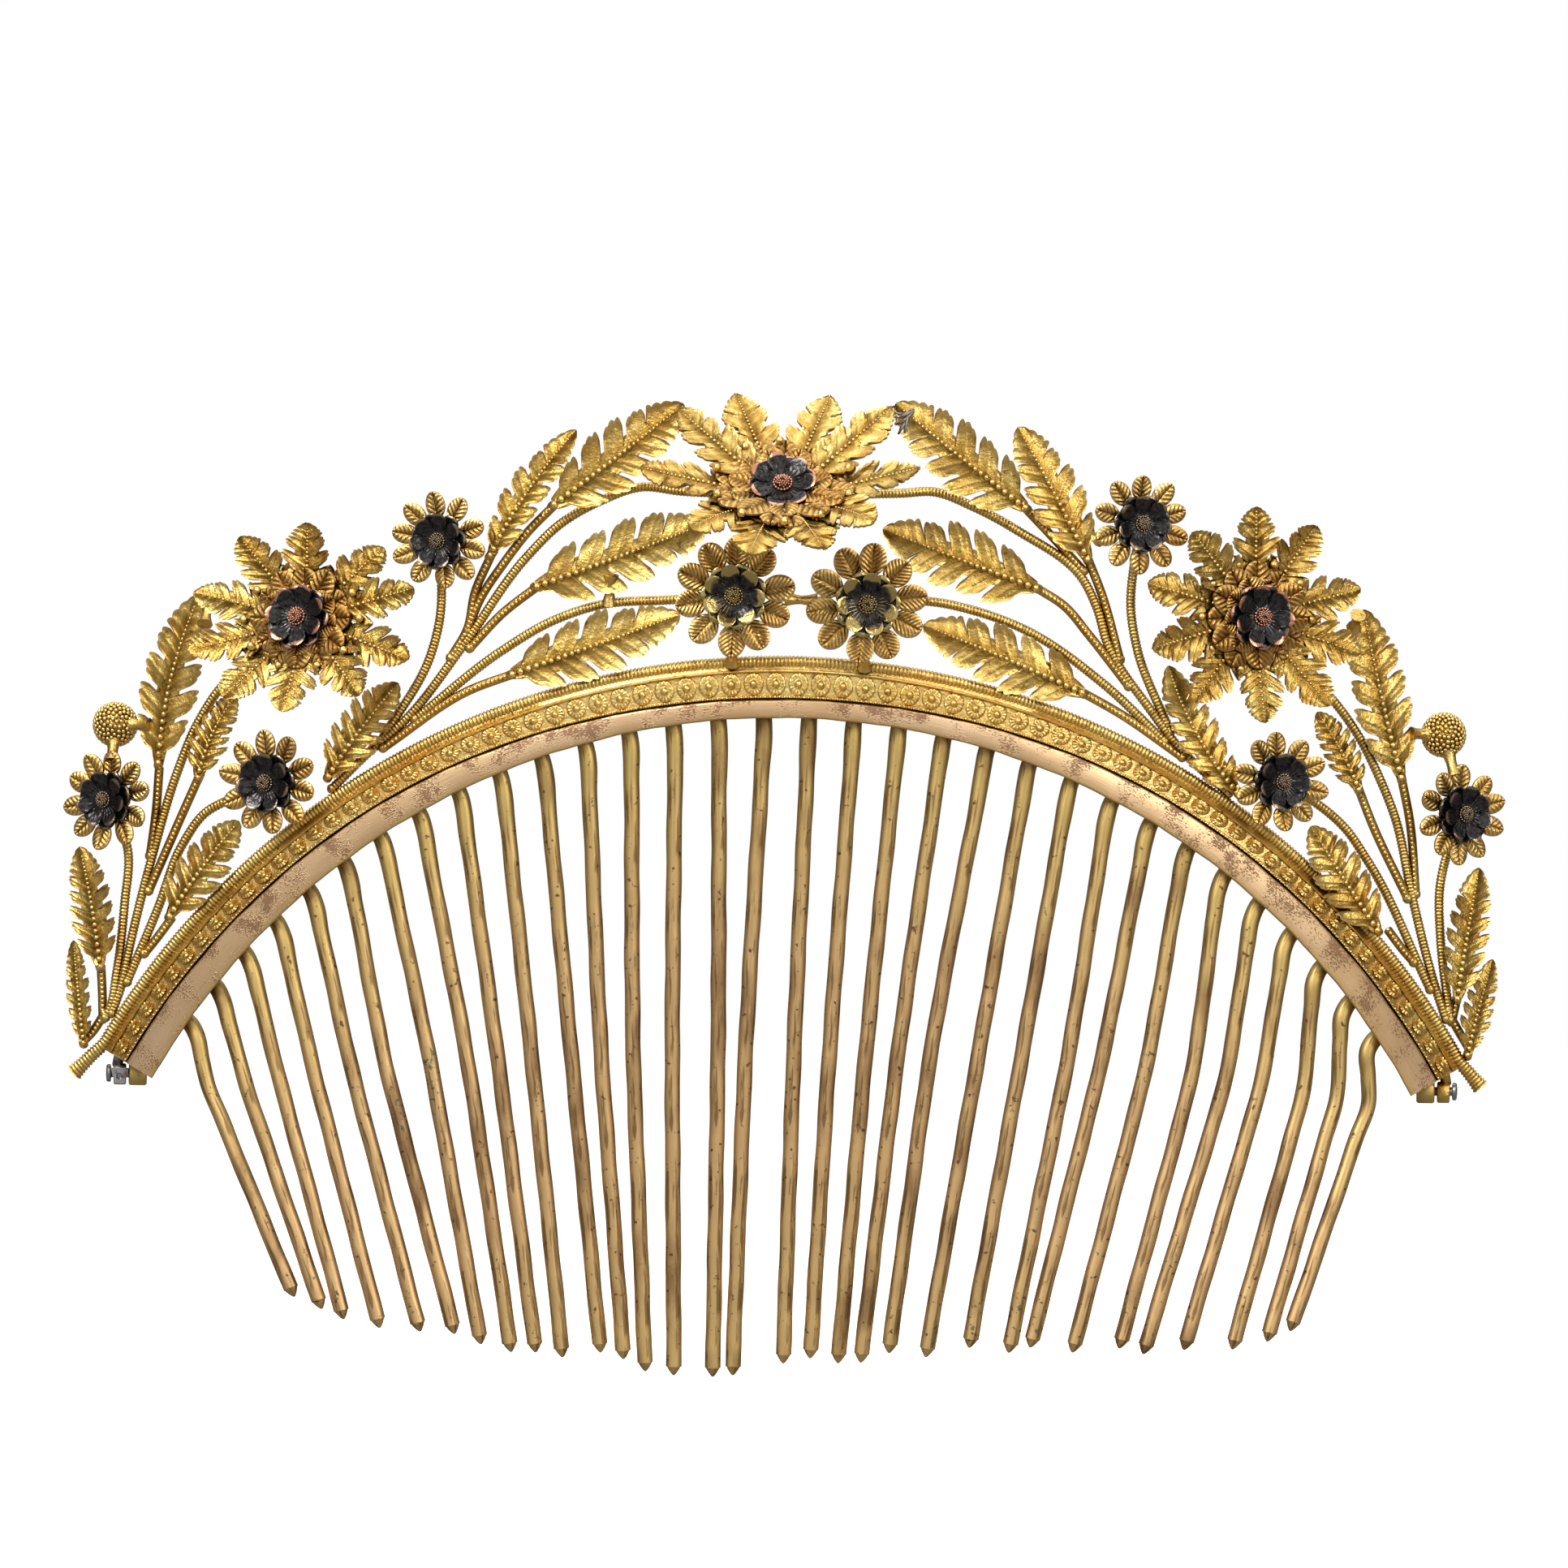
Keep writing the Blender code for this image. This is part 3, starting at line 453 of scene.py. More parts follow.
def tube(sheet, places, radii, sides=10, relief=0.6, flat=1.0, skin=0):
    """A closed tube through world places. flat squeezes it across its normal."""
    places = [Vector(place) for place in places]
    count = len(places)
    padded = [places[0], *places, places[-1]]
    tangents = [(ahead - behind).normalized() for behind, ahead in zip(padded, padded[2:])]
    normal = tangents[0].cross(Vector((0.0, 1.0, 0.0))).normalized()
    points, flow, faces = [], [], []
    run = 0.0
    for index, (place, tangent, radius) in enumerate(zip(places, tangents, spread(radii, count))):
        normal = (normal - tangent * normal.dot(tangent)).normalized()
        other = tangent.cross(normal)
        run += (place - padded[index]).length / MM
        for side, angle in enumerate(circle(sides)):
            ring = normal * math.cos(angle) + other * math.sin(angle) * flat
            points.append(place + ring * radius * MM)
            flow.append((run, side / sides, 0.0))
        if index:
            faces.extend(join_rings((index - 1) * sides, index * sides, sides))
    faces.append(tuple(reversed(range(sides))))
    faces.append(tuple(range((count - 1) * sides, count * sides)))
    reliefs = [light_and_wear for light_and_wear in spread(relief, count) for _ in range(sides)]
    sheet.add(points, faces, reliefs, flow, skin)


def hoop(sheet, rings, relief):
    """A ring-shaped solid: each loop of points is joined to the next, and the last to the first."""
    count = len(rings[0])
    faces = []
    for number in range(len(rings)):
        faces.extend(join_rings(number * count, (number + 1) % len(rings) * count, count))
    sheet.add([point for ring in rings for point in ring], faces, relief)


def blade(sheet, place, rib, rows, slant, reach, height, thick, columns):
    """A thin stamped blade, closed all round.

    rib(s) gives its centre line and direction, rows the places s of its cross lines, slant their angle
    to the centre line, reach(s, side) their length, and height(s, t, side, run) the height and relief.
    place(x, y, height) puts a point in the world.
    """
    slots = [-t for t in reversed(columns[1:])] + list(columns)
    front, back, relief, flow = [], [], [], []
    cosine, sine = math.cos(slant), math.sin(slant)
    for s in rows:
        centre, along = rib(s)
        across = (-along[1], along[0])
        for t in slots:
            side = 1 if t >= 0 else -1
            run = reach(s, side) * abs(t)
            x = centre[0] + run * (along[0] * cosine + across[0] * side * sine)
            y = centre[1] + run * (along[1] * cosine + across[1] * side * sine)
            rise, light_and_wear = height(s, abs(t), side, run)
            front.append(place(x, y, rise))
            back.append(place(x, y, rise - thick))
            relief.append(light_and_wear)
            flow.append((x, y, rise))
    wide, total = len(slots), len(front)
    last = total - wide
    faces = []
    for row in range(0, last, wide):
        for a in range(row, row + wide - 1):
            b, c, d = a + 1, a + wide + 1, a + wide
            faces.extend(((a, b, c, d), (total + d, total + c, total + b, total + a)))
    border = [*range(wide), *range(2 * wide - 1, total, wide), *range(total - 2, last - 1, -1),
              *range(last - wide, 0, -wide)]
    for a, b in zip(border, border[1:] + border[:1]):
        faces.append((b, a, total + a, total + b))
    sheet.add(front + back, faces, relief + [0.45] * total, flow + flow)


def ellipse_reach(run, middle, half_long, half_wide, slant):
    """Length of a slanted cross line from the centre line to an ellipse round it."""
    a = (math.cos(slant) / half_long) ** 2 + (math.sin(slant) / half_wide) ** 2
    b = 2 * (run - middle) * math.cos(slant) / half_long ** 2
    c = ((run - middle) / half_long) ** 2 - 1
    inside = b * b - 4 * a * c
    return 0.0 if inside <= 0 else max(0.0, (-b + math.sqrt(inside)) / (2 * a))


def leaf_profile(share):
    """Half width of a leaf's outline, as a share of its widest, along its length."""
    if not 0.0 < share < 1.0:
        return 0.0
    return math.sin(math.pi * share ** 0.92) ** 0.55


def outline_reach(s, length, half_wide):
    """Length of a slanted cross line from the midrib to the leaf's outline, found by halving."""
    low, high = 0.0, half_wide / math.sin(LEAF_SLANT)
    for _ in range(14):
        middle = (low + high) / 2
        ahead = s + middle * math.cos(LEAF_SLANT) / length
        if middle * math.sin(LEAF_SLANT) < half_wide * leaf_profile(ahead):
            low = middle
        else:
            high = middle
    return low


def lobe_rows(lobes, fine, slit):
    """Places of the cross lines of a lobed blade: close together at each slit."""
    rows = [0.0]
    pitch = (LOBES_END - LOBES_START) / lobes
    for lobe in range(lobes):
        low = LOBES_START + pitch * lobe
        rows.extend((low, low + pitch * slit))
        rows.extend(low + pitch * (slit + 0.01 + (0.97 - slit) * step / fine) for step in range(fine + 1))
        rows.append(low + pitch * 0.99)
    rows.extend(LOBES_END + (0.985 - LOBES_END) * step / (2 * fine) for step in range(1, 2 * fine))
    rows.extend((0.985, 1.0))
    return rows


def peak(value, centre, width):
    return math.exp(-((value - centre) / width) ** 2)


def lobed_leaf(sheet, place, base, middle, tip, width, bead_size, curl, sag, lobes, fine, depth, slit):
    """A lobed leaf with veins, curled edges and a beaded midrib, along a bent centre line.

    curl bends its edges forward, and sag sinks it between midrib and edge.
    """
    base, tip = np.array(base, float), np.array(tip, float)
    control = 2 * np.array(middle, float) - (base + tip) / 2
    length = np.linalg.norm(tip - base)
    pitch = (LOBES_END - LOBES_START) / lobes
    keys = [(lobe, side) for lobe in range(lobes + 1) for side in (-1, 1)]
    scale = {key: DICE.uniform(0.9, 1.05) for key in keys}
    bend = {key: DICE.uniform(-0.28, 0.3) * width / 6.5 for key in keys}
    whole = {key: depth * DICE.uniform(0.85, 1.15) for key in keys}

    def rib(s):
        point = base * (1 - s) ** 2 + control * 2 * s * (1 - s) + tip * s ** 2
        along = (control - base) * 2 * (1 - s) + (tip - control) * 2 * s
        return point, along / np.linalg.norm(along)

    def local(s):
        """Lobe number and place within it; the last lobe is the leaf's end."""
        if s < LOBES_START:
            return 0, 0.0
        if s >= LOBES_END:
            return lobes, (s - LOBES_END) / (1 - LOBES_END)
        lobe = min(lobes - 1, int((s - LOBES_START) / pitch))
        return lobe, (s - LOBES_START) / pitch - lobe

    def reach(s, side):
        lobe, u = local(s)
        full = max(0.1, outline_reach(s, length, width / 2))
        slot = max(0.1, full * whole[lobe, side])
        if s < LOBES_START:
            return slot
        if lobe == lobes:
            scallop = abs(math.sin(4 * math.pi * u ** 0.8)) ** 0.7
            return max(0.05, full * (0.86 + 0.14 * scallop))
        if u < slit + 0.005 or u > 0.985:
            return slot
        inner = (u - slit) / (0.98 - slit)
        scallop = abs(math.sin(3 * math.pi * inner ** 0.85)) ** 0.6
        rounded = 0.74 + 0.26 * math.sin(math.pi / 2 * min(1.0, (inner + 0.06) / 0.5))
        rounded -= 0.22 * max(0.0, (inner - 0.72) / 0.28) ** 2
        return max(slot, full * rounded * (0.89 + 0.11 * scallop) * scale[lobe, side])

    def height(s, t, side, run):
        lobe, u = local(s)
        swell = math.sin(math.pi * min(0.99, 0.06 + s * 0.94)) ** 0.5
        ridge = peak(t * run, 0.0, 0.32)
        flank = peak(t * run, 0.8, 0.16) if s < 0.85 else 0.0
        if lobe == lobes:
            vein = 0.8 * peak(u, 0.2, 0.06) + 0.7 * peak(u, 0.5, 0.06)
        else:
            vein = peak(u, 0.5 + 0.14 * t, 0.05) + 0.5 * peak(u, 0.5 - 0.26 * t, 0.04)
            vein += 0.5 * peak(u, 0.5 + 0.42 * t, 0.04)
        vein *= math.sin(math.pi * min(1.0, 0.05 + t * 0.95)) ** 0.7
        swollen = 0.16 * t * math.sin(math.pi * min(1.0, u)) if lobe < lobes else 0.0
        rim = max(0.0, (t - 0.82) / 0.18)
        edge = 1.0 if lobe < lobes and (u < slit + 0.06 or u > 0.93) and t > whole[lobe, side] else 0.0
        rise = 0.09 * vein + 0.14 * rim + 0.08 * edge + 0.16 * ridge + 0.1 * flank + swollen
        rise += (curl * t * t - sag * t * (1 - 0.6 * t)) * swell + bend[lobe, side] * t * t
        # Relief for painted light: painted highlights on veins, rims, cut edges and towards the tip, and
        # painted shade along the midrib.
        light_and_wear = 0.36 + 0.2 * min(1.0, vein) + 0.16 * t + 0.5 * rim + 0.3 * edge + 0.3 * flank
        return rise, min(1.0, light_and_wear - 0.3 * ridge + 0.16 * (s - 0.5))

    rows = lobe_rows(lobes, fine, slit)
    blade(sheet, place, rib, rows, LEAF_SLANT, reach, height, LEAF_THICK, BLADE_COLUMNS)
    s = 0.02
    while s < 0.94:
        radius = bead_size * (1.0 - 0.66 * s)
        bead(sheet, place(*rib(s)[0], 0.1 + radius * 0.4), radius)
        s += (2.3 * radius + 0.03) / length


# ---------------------------------------------------------------- the comb half

def arc_section(corners, fillet):
    """A section's corners, each rounded off by a small arc."""
    corners = [np.array(corner, float) for corner in corners]
    rounded = []
    for before, corner, after in zip(corners[-1:] + corners, corners, corners[1:] + corners[:1]):
        towards = (before - corner) / np.linalg.norm(before - corner)
        away = (after - corner) / np.linalg.norm(after - corner)
        for share in (0, 1 / 3, 2 / 3, 1):
            rounded.append(corner + fillet * (towards * (1 - share) ** 2 + away * share ** 2))
    return rounded


def arch_loft(sheet, section, first, last, steps, relief):
    """A bar swept along the arch. section(degrees) gives (radius, lift) corners, and relief(across, lift)
    the relief at a share of the way across."""
    points, light_and_wear, flow, faces = [], [], [], []
    for step in range(steps + 1):
        degrees = first + (last - first) * step / steps
        corners = section(degrees)
        low = min(corner[0] for corner in corners)
        high = max(corner[0] for corner in corners)
        for radius, lift in corners:
            points.append(on_arch(radius, degrees, lift))
            light_and_wear.append(relief((radius - low) / (high - low), lift))
            flow.append((math.radians(degrees) * BAR_INNER, radius - low, lift))
    sides = len(points) // (steps + 1)
    for step in range(steps):
        faces.extend(join_rings(step * sides, (step + 1) * sides, sides))
    faces.append(tuple(reversed(range(sides))))
    faces.append(tuple(range(steps * sides, (steps + 1) * sides)))
    sheet.add(points, faces, light_and_wear, flow)


def build_bar():
    """The curved channel over the roots of the teeth, slightly uneven from hand work."""
    def section(degrees):
        inner, outer = bar_inner(degrees), bar_outer(degrees)
        back, front = BAR_PLATE
        wave = 0.03 * math.sin(degrees * 0.9) + 0.02 * math.sin(degrees * 2.3 + 1.0)
        corners = ((inner + wave, front), (outer + wave, front), (outer, BAR_BACK),
                   (outer - BAR_FLANGE, BAR_BACK), (outer - BAR_FLANGE, back), (inner + wave, back))
        return arc_section(corners, 0.22)

    sheet = Sheet()
    arch_loft(sheet, section, -BAR_END, BAR_END, 180, lambda across, lift: across)
    sheet.finish("comb_bar_detail", "comb_bar", "pink_gold", body="comb", sharp=60)


def tooth_line(index):
    """World places along one tooth, from inside the rail to its tip, and the radius at each."""
    waist_x, *tip = TEETH[index]
    angle = math.radians(TOOTH_FIRST + TOOTH_STEP * index)
    inward = np.array((-math.sin(angle), -math.cos(angle)))
    centre = np.array((0.0, ARCH_CENTRE_Z))
    root = centre - inward * (BAR_INNER + 0.8)
    shoulder = centre - inward * (BAR_INNER - 0.5)
    bend = shoulder + inward * 0.9 + np.array((0.0, -0.7))
    waist = np.array((waist_x, WAIST_Z))
    below = bend + (waist - bend) * min(0.5, 3.0 / np.linalg.norm(waist - bend))
    ahead = waist + (np.array(tip) - waist) * 0.15
    places, radii = [], []
    for number, (x, z) in enumerate(smooth_line([root, shoulder, bend, below, waist, ahead, tip], 0.5)):
        run = max(0.0, shoulder[1] - z) / TOOTH_DROP
        wobble = 0.03 * math.sin(number * 0.31 + index * 1.7)
        places.append(on_head(x, z, TOOTH_LIFT) + Vector((wobble, TOOTH_BOW * run * run, 0.0)) * MM)
        swell = 1 + 0.1 * peak(number, 6, 6)
        radii.append(TOOTH_RADIUS * swell * (1 + 0.015 * math.sin(number * 0.53 + index)))
    end = places[-1]
    along = (end - places[-3]).normalized()
    places[-2:] = [end - along * back * MM for back, _ in TOOTH_POINT]
    radii[-2:] = [TOOTH_RADIUS * share for _, share in TOOTH_POINT]
    return places, radii


def build_tooth_row(label, side):
    """Half the rail, its sixteen teeth and its hinge eye."""
    def section(degrees):
        back, front = RAIL_LAYER
        low, high = BAR_INNER + 0.15, bar_outer(degrees) - BAR_FLANGE - GAP
        return arc_section(((low, front), (high, front), (high, back), (low, back)), 0.18)

    sheet = Sheet()
    first, last = sorted((side * RAIL_END, side * RAIL_SPLIT))
    arch_loft(sheet, section, first, last, 70, lambda across, lift: 0.5)
    half = len(TEETH) // 2
    for index in (range(half) if side < 0 else range(half, 2 * half)):
        tube(sheet, *tooth_line(index), 14)
    knuckle(sheet, side * EYE_X, 0.0, *EYE)
    sheet.finish("tooth_row_detail_" + label, "tooth_row_" + label, "tooth_brass", body="comb", sharp=60)


def knuckle(sheet, x, rise, thick, radius, hole):
    """A hinge knuckle: a rounded square block with a round hole along X. Its ends are chamfered."""
    power = 2.6
    rings = []
    for near, share in ((-1, 0.9), (-0.8, 1.0), (0.8, 1.0), (1, 0.9), (1, None), (-1, None)):
        ring = []
        for angle in circle(24):
            cosine, sine = math.cos(angle), math.sin(angle)
            square = (abs(cosine) ** power + abs(sine) ** power) ** (-1 / power)
            reach, up = (square * radius * share, rise) if share else (hole, 0.0)
            ring.append(from_hinge(x + near * thick / 2, cosine * reach, sine * reach + up))
        rings.append(ring)
    hoop(sheet, rings, 0.5)


def build_hinge(label, side):
    """The crest's lug with its foot on the band, and the pin that the comb turns on."""
    material = "steel" if side < 0 else "gilt"
    sheet = Sheet()
    knuckle(sheet, side * AXIS_X, -0.1, *LUG)
    foot = from_hinge(side * (AXIS_X + 0.3), 0.0, 0.9)
    tube(sheet, between(foot, on_arch(BAND_OUTER - 1.0, side * (BAND_END - 0.6), STEM_LIFT), 4), 0.6)
    if side < 0:
        repair_plate(sheet)
    sheet.finish("hinge_lug_detail_" + label, "hinge_lug_" + label, material)
    pin = Sheet()
    places = [from_hinge(side * (PIN_START + run), 0.0, 0.0) for run, _ in PIN_PROFILE]
    tube(pin, places, [radius for _, radius in PIN_PROFILE], 18)
    pin.finish("hinge_pin_detail_" + label, "hinge_pin_" + label, "steel", body="comb", sharp=40)


def repair_plate(sheet):
    """The front of the left lug: a small tapering plate with a round hole that faces forward."""
    corners = np.array(((-1.0, 0.9), (1.0, 0.9), (0.55, -0.85), (-0.55, -0.85), (-1.0, 0.9)))
    corners[:, 1] -= 0.3
    count = 24
    outline, hole = [], []
    for step, angle in enumerate(circle(count)):
        number, share = divmod(step * 4 / count, 1.0)
        outline.append(corners[int(number)] * (1 - share) + corners[int(number) + 1] * share)
        turn = math.radians(135) - angle
        hole.append((0.38 * math.cos(turn), 0.38 * math.sin(turn) - 0.35))
    front, back = -1.55, -1.1
    loops = ((front, outline), (front, hole), (back, hole), (back, outline))
    hoop(sheet, [[from_hinge(x - AXIS_X, depth, z) for x, z in loop] for depth, loop in loops], 0.6)


# ---------------------------------------------------------------- the crest half

def build_band():
    """The stamped strip: a plain ridge, a row of rosettes and a beaded lower border."""
    back, front = BAND_LAYER
    behind, stop = BAND_LIP

    def section(degrees):
        low, high = bar_outer(degrees) + SEAM, BAND_OUTER
        inner = bar_outer(degrees) - BAR_FLANGE
        return ((inner, behind), (inner, stop), (low, stop), (low, front - 0.2), (low + 0.1, front),
                (low + 0.3, front), (low + 0.38, front - 0.25), (high - 0.3, front - 0.25),
                (high - 0.22, front + 0.05), (high - 0.1, front + 0.15), (high + 0.02, front + 0.05),
                (high + 0.1, front - 0.5), (high + 0.7, front - 0.7), (high + 0.7, back),
                (low + 0.5, back), (low + 0.5, behind))

    sheet = Sheet()
    # Relief for painted light: a painted highlight on the front face, and painted shade on the parts further
    # back.
    arch_loft(sheet, section, -BAND_END, BAND_END, 160, lambda across, lift: 1.0 if lift > 1.7 else 0.55)
    for degrees in along_band(SUNBURSTS):
        hidden = 0.4 * abs(math.sin(math.radians(degrees)))   # the bar covers more of it at the sides
        low, high = bar_outer(degrees) + SEAM + 0.3 + hidden, BAND_OUTER - 0.16
        sunburst(sheet, degrees, (low + high) / 2, (high - low) / 2)
    for degrees in along_band(BAND_BEADS):
        bead(sheet, on_arch(bar_outer(degrees) + SEAM + 0.2, degrees, front + 0.02), 0.2, GRAIN)
    sheet.finish("rosette_band_detail", "rosette_band", "gilt", sharp=60)


def along_band(count):
    """Angles of equally spaced marks along the band."""
    return [-BAND_END + 2 * BAND_END * (number + 0.5) / count for number in range(count)]


def sunburst(sheet, degrees, radius, reach):
    """One small rosette of rays with a domed boss."""
    angle = math.radians(degrees)
    out = np.array((math.sin(angle), math.cos(angle)))
    along = np.array((out[1], -out[0]))
    centre = radius * out + np.array((0.0, ARCH_CENTRE_Z))
    lift = BAND_LAYER[1] - 0.25
    count = 2 * SUNBURST_RAYS
    points, relief = [on_head(*centre, lift + SUNBURST_TOP)], [1.0]
    faces = [(1 + step, 1 + (step + 1) % count, 0) for step in range(count)]
    for number, (share, crest, valley, light_and_wear) in enumerate(SUNBURST):
        for step, turn in enumerate(circle(count)):
            x, z = centre + share * (along * SUNBURST_REACH * math.cos(turn) + out * reach * math.sin(turn))
            points.append(on_head(x, z, lift + (crest if step % 2 else valley)))
            # Relief for painted light: the rays and inner rings take the ring's relief, and the outer
            # valleys a fixed, lighter painted shade.
            relief.append(light_and_wear if step % 2 or share < 0.4 else 0.62)
        if number:
            faces.extend(join_rings(1 + number * count, 1 + (number - 1) * count, count))
    faces.append(tuple(range(len(points) - 1, len(points) - 1 - count, -1)))
    sheet.add(points, faces, relief)


def build_edging():
    """The ribbed strip along the band, with tails that flare past its ends."""
    steps = 120
    places = [on_arch(EDGING_RADIUS, BAND_END * (2 * step / steps - 1), STEM_LIFT)
              for step in range(1, steps)]
    for side, end in EDGING_TAILS.items():
        root = on_arch(EDGING_RADIUS, side * (BAND_END - 0.6), STEM_LIFT)
        tail = between(root, on_head(*end, STEM_LIFT), 2)
        places = tail[::-1] + places if side < 0 else places + tail
    line = smooth_line([np.array(place) / MM for place in places], EDGING_PITCH / 4)
    crests = ribbing(line)
    radii = []
    for number, crest in enumerate(crests):
        flare = 1 + 0.35 * math.exp(-min(number, len(line) - 1 - number) / 14)
        radii.append((0.6 + 0.17 * crest) * flare)
    sheet = Sheet()
    # Relief for painted light: a painted highlight on each rib and painted shade between them.
    tube(sheet, line * MM, radii, 10, [0.3 + 0.7 * crest for crest in crests], 0.72)
    sheet.finish("milled_edging_detail", "milled_edging", "gilt", sharp=80)


def ribbing(line):
    """Height of the ribs, from 0 to 1, at points that stand four to a rib."""
    return [0.5 + 0.5 * math.cos(math.pi * number / 2) for number in range(len(line))]


def trimmed(points):
    """A stem's path, cut where it reaches the edging."""
    kept = [np.array(points[0])]
    for step in points[1:]:
        point = np.array(step)
        if arch_radius(point) >= STEM_LIMIT:
            kept.append(point)
            continue
        last = kept[-1]
        inside = arch_radius(last) - STEM_LIMIT
        outside = STEM_LIMIT - arch_radius(point)
        if inside > 0.05:
            kept.append(last + (point - last) * inside / (inside + outside))
        break
    return kept


def solder(sheet, start, end):
    """A small bridge of solder between two front-view places, waisted in the middle."""
    radii = [SOLDER_RADIUS * (0.7 + 0.6 * abs(step / 3 - 1) ** 1.5) for step in range(7)]
    tube(sheet, between(on_head(*start), on_head(*end), 6), radii, 9)


def build_spray(name, stems):
    """A spray of coiled and beaded stems, soldered where they meet."""
    sheet = Sheet()
    for number, (kind, points) in enumerate(stems):
        lift = STEM_LIFT + 0.06 * (number % 3 - 1)
        path = trimmed(points)
        if kind == "coil":
            line = smooth_line(path, COIL_PITCH / 4)
            crests = ribbing(line)
            radii = [STEM_RADIUS - 0.05 + 0.09 * crest for crest in crests]
            # Relief for painted light: a painted highlight on each turn of the coil and painted shade
            # between turns.
            light_and_wear = [0.1 + 0.9 * crest for crest in crests]
            tube(sheet, [on_head(x, z, lift) for x, z in line], radii, 9, light_and_wear)
        else:
            line = smooth_line(path, BEAD_PITCH / 2)
            tube(sheet, [on_head(x, z, lift - 0.1) for x, z in line], STEM_RADIUS, 9, 0.35)
            for x, z in line[::2]:
                bead(sheet, on_head(x, z, lift + 0.33), 0.26)
        bead(sheet, on_head(*path[-1], lift), STEM_RADIUS * 1.15, relief=0.5)
    for start, end in SOLDER[name]:
        solder(sheet, start, end)
    sheet.finish(name + "_detail", name, "gilt", sharp=80)


def build_leaf(kind, side):
    """One leaf, its beads, and the solder that holds it to its stem."""
    node = "leaf_" + kind + "_" + side
    base, middle, tip, width = leaf_line(node)
    lift = LEAF_LIFT + (LEAF_STEP if kind in FORWARD_LEAVES else 0.0)

    def place(x, z, height):
        return on_head(x, z, lift + height)

    sheet = Sheet()
    style = SERRATE if kind in SERRATE_LEAVES else BROAD
    bead_size = 0.19 + 0.23 * min(1.0, width / 6.0)
    lobed_leaf(sheet, place, base, middle, tip, width * LEAF_SPREAD, bead_size, 0.1, 0.3, **style)
    foot = [on_head(*base, STEM_LIFT), place(*(base + (tip - base) * 0.06), 0.0)]
    tube(sheet, smooth_line([np.array(end) / MM for end in foot], 0.3) * MM, 0.55, 9)
    materials = ["gilt"]
    if node == WIRE_LEAF:
        wire_loops(sheet)
        materials.append("steel")
    sheet.finish(node + "_detail", node, *materials)


def wire_loops(sheet):
    """Thin wire twisted round a leaf's tip, with two loose turns in front."""
    for x, z, lift, half_wide, half_deep, turn in WIRE_LOOPS:
        angle = math.radians(turn)
        across = Vector((math.cos(angle), 0.0, math.sin(angle))) * half_wide * MM
        depth = Vector((0.25, 1.0, 0.45)) * half_deep * MM
        centre = on_head(x, z, lift)
        places = [centre + across * math.cos(step) + depth * math.sin(step) for step in (*circle(24), 0.0)]
        tube(sheet, places, WIRE_RADIUS, 6, skin=1)


def petal(sheet, matrix, angle, start, end, half_wide, cup, curl, ribs, groove):
    """One petal with a centre crease and slanted ribs, on a flower's face."""
    spin = Matrix.Rotation(angle, 4, "Z")
    length = end - start
    slope = math.tan(cup)

    def place(x, y, height):
        return matrix @ (spin @ (Vector((x, y, height + slope * y)) * MM))

    def rib(s):
        return np.array((0.0, start + length * s)), np.array((0.0, 1.0))

    def reach(s, side):
        full = ellipse_reach(length * s, length * 0.55, length * 0.46, half_wide, PETAL_SLANT)
        return max(full, 0.05 if s > 0.5 else half_wide * 0.6)

    def height(s, t, side, run):
        wave = 0.5 - 0.5 * math.cos(2 * math.pi * s * ribs)
        crease = -0.05 * peak(t, 0.0, 0.1)
        rise = groove * wave * math.sin(math.pi * min(1.0, t)) ** 0.5 + crease + curl * s * s
        rise += 0.12 * math.sin(math.pi * t) - 0.06 * t
        rim = max(0.0, (t - 0.8) / 0.2)
        # Relief for painted light: painted highlights on the ribs and rim, growing towards the tip.
        return rise, min(1.0, 0.14 + 0.75 * wave * min(1.0, 0.2 + t * 2) + 0.35 * rim + 0.15 * s)

    rows = [step / (ribs * 4) for step in range(ribs * 4)] + [0.995]
    blade(sheet, place, rib, rows, PETAL_SLANT, reach, height, PETAL_THICK, PETAL_COLUMNS)


def dish(sheet, matrix, rings, count, petals, depth, phase=0.0, thick=0.3, hump=0.16):
    """A round of petals pressed from one disc. rings are (radius, height, relief, ripple)."""
    points, relief = [], []
    for drop in (0.0, thick):
        for radius, rise, light_and_wear, ripple in rings:
            for turn in circle(count):
                lobe = abs(math.cos(petals * turn / 2))
                notch = 1 - depth * ripple * (1 - lobe ** 0.5)
                bump = hump * ripple * (lobe - 0.5)
                points.append(in_flower(matrix, radius * notch, turn + phase, rise - drop + bump))
                # Relief is higher on the petal lobes than in the notches: painted shade in the notches of
                # gilt dishes, and wear on the lobes of black patina.
                relief.append(0.2 if drop else light_and_wear * (0.35 + 0.65 * lobe))
    size = len(rings) * count
    outer = size - count
    faces = []
    for near in range(0, outer, count):
        faces.extend(join_rings(near, near + count, count))
        faces.extend(join_rings(size + near + count, size + near, count))
    faces.extend(join_rings(outer, size + outer, count))
    faces.append(tuple(reversed(range(count))))
    faces.append(tuple(range(size, size + count)))
    sheet.add(points, faces, relief)


def boss(sheet, matrix, radius, rise):
    """A ringed, granulated boss with a dimple in the middle."""
    for angle in circle(18):
        bead(sheet, in_flower(matrix, radius, angle, rise), radius * 0.2, GRAIN, 0.95)
    grains = 40
    for number in range(3, grains):
        share = (number + 0.5) / grains
        up = rise + radius * 0.7 * math.sqrt(1 - share * 0.9)
        centre = in_flower(matrix, radius * 0.82 * math.sqrt(share), number * GOLDEN, up)
        bead(sheet, centre, radius * 0.15, GRAIN, 0.9)
    dome = on_axis(matrix, *(rise + radius * height for height in (-0.3, 0.2, 0.5, 0.62)))
    tube(sheet, dome, [radius * share for share in (0.98, 0.92, 0.6, 0.2)], 18, 0.1)


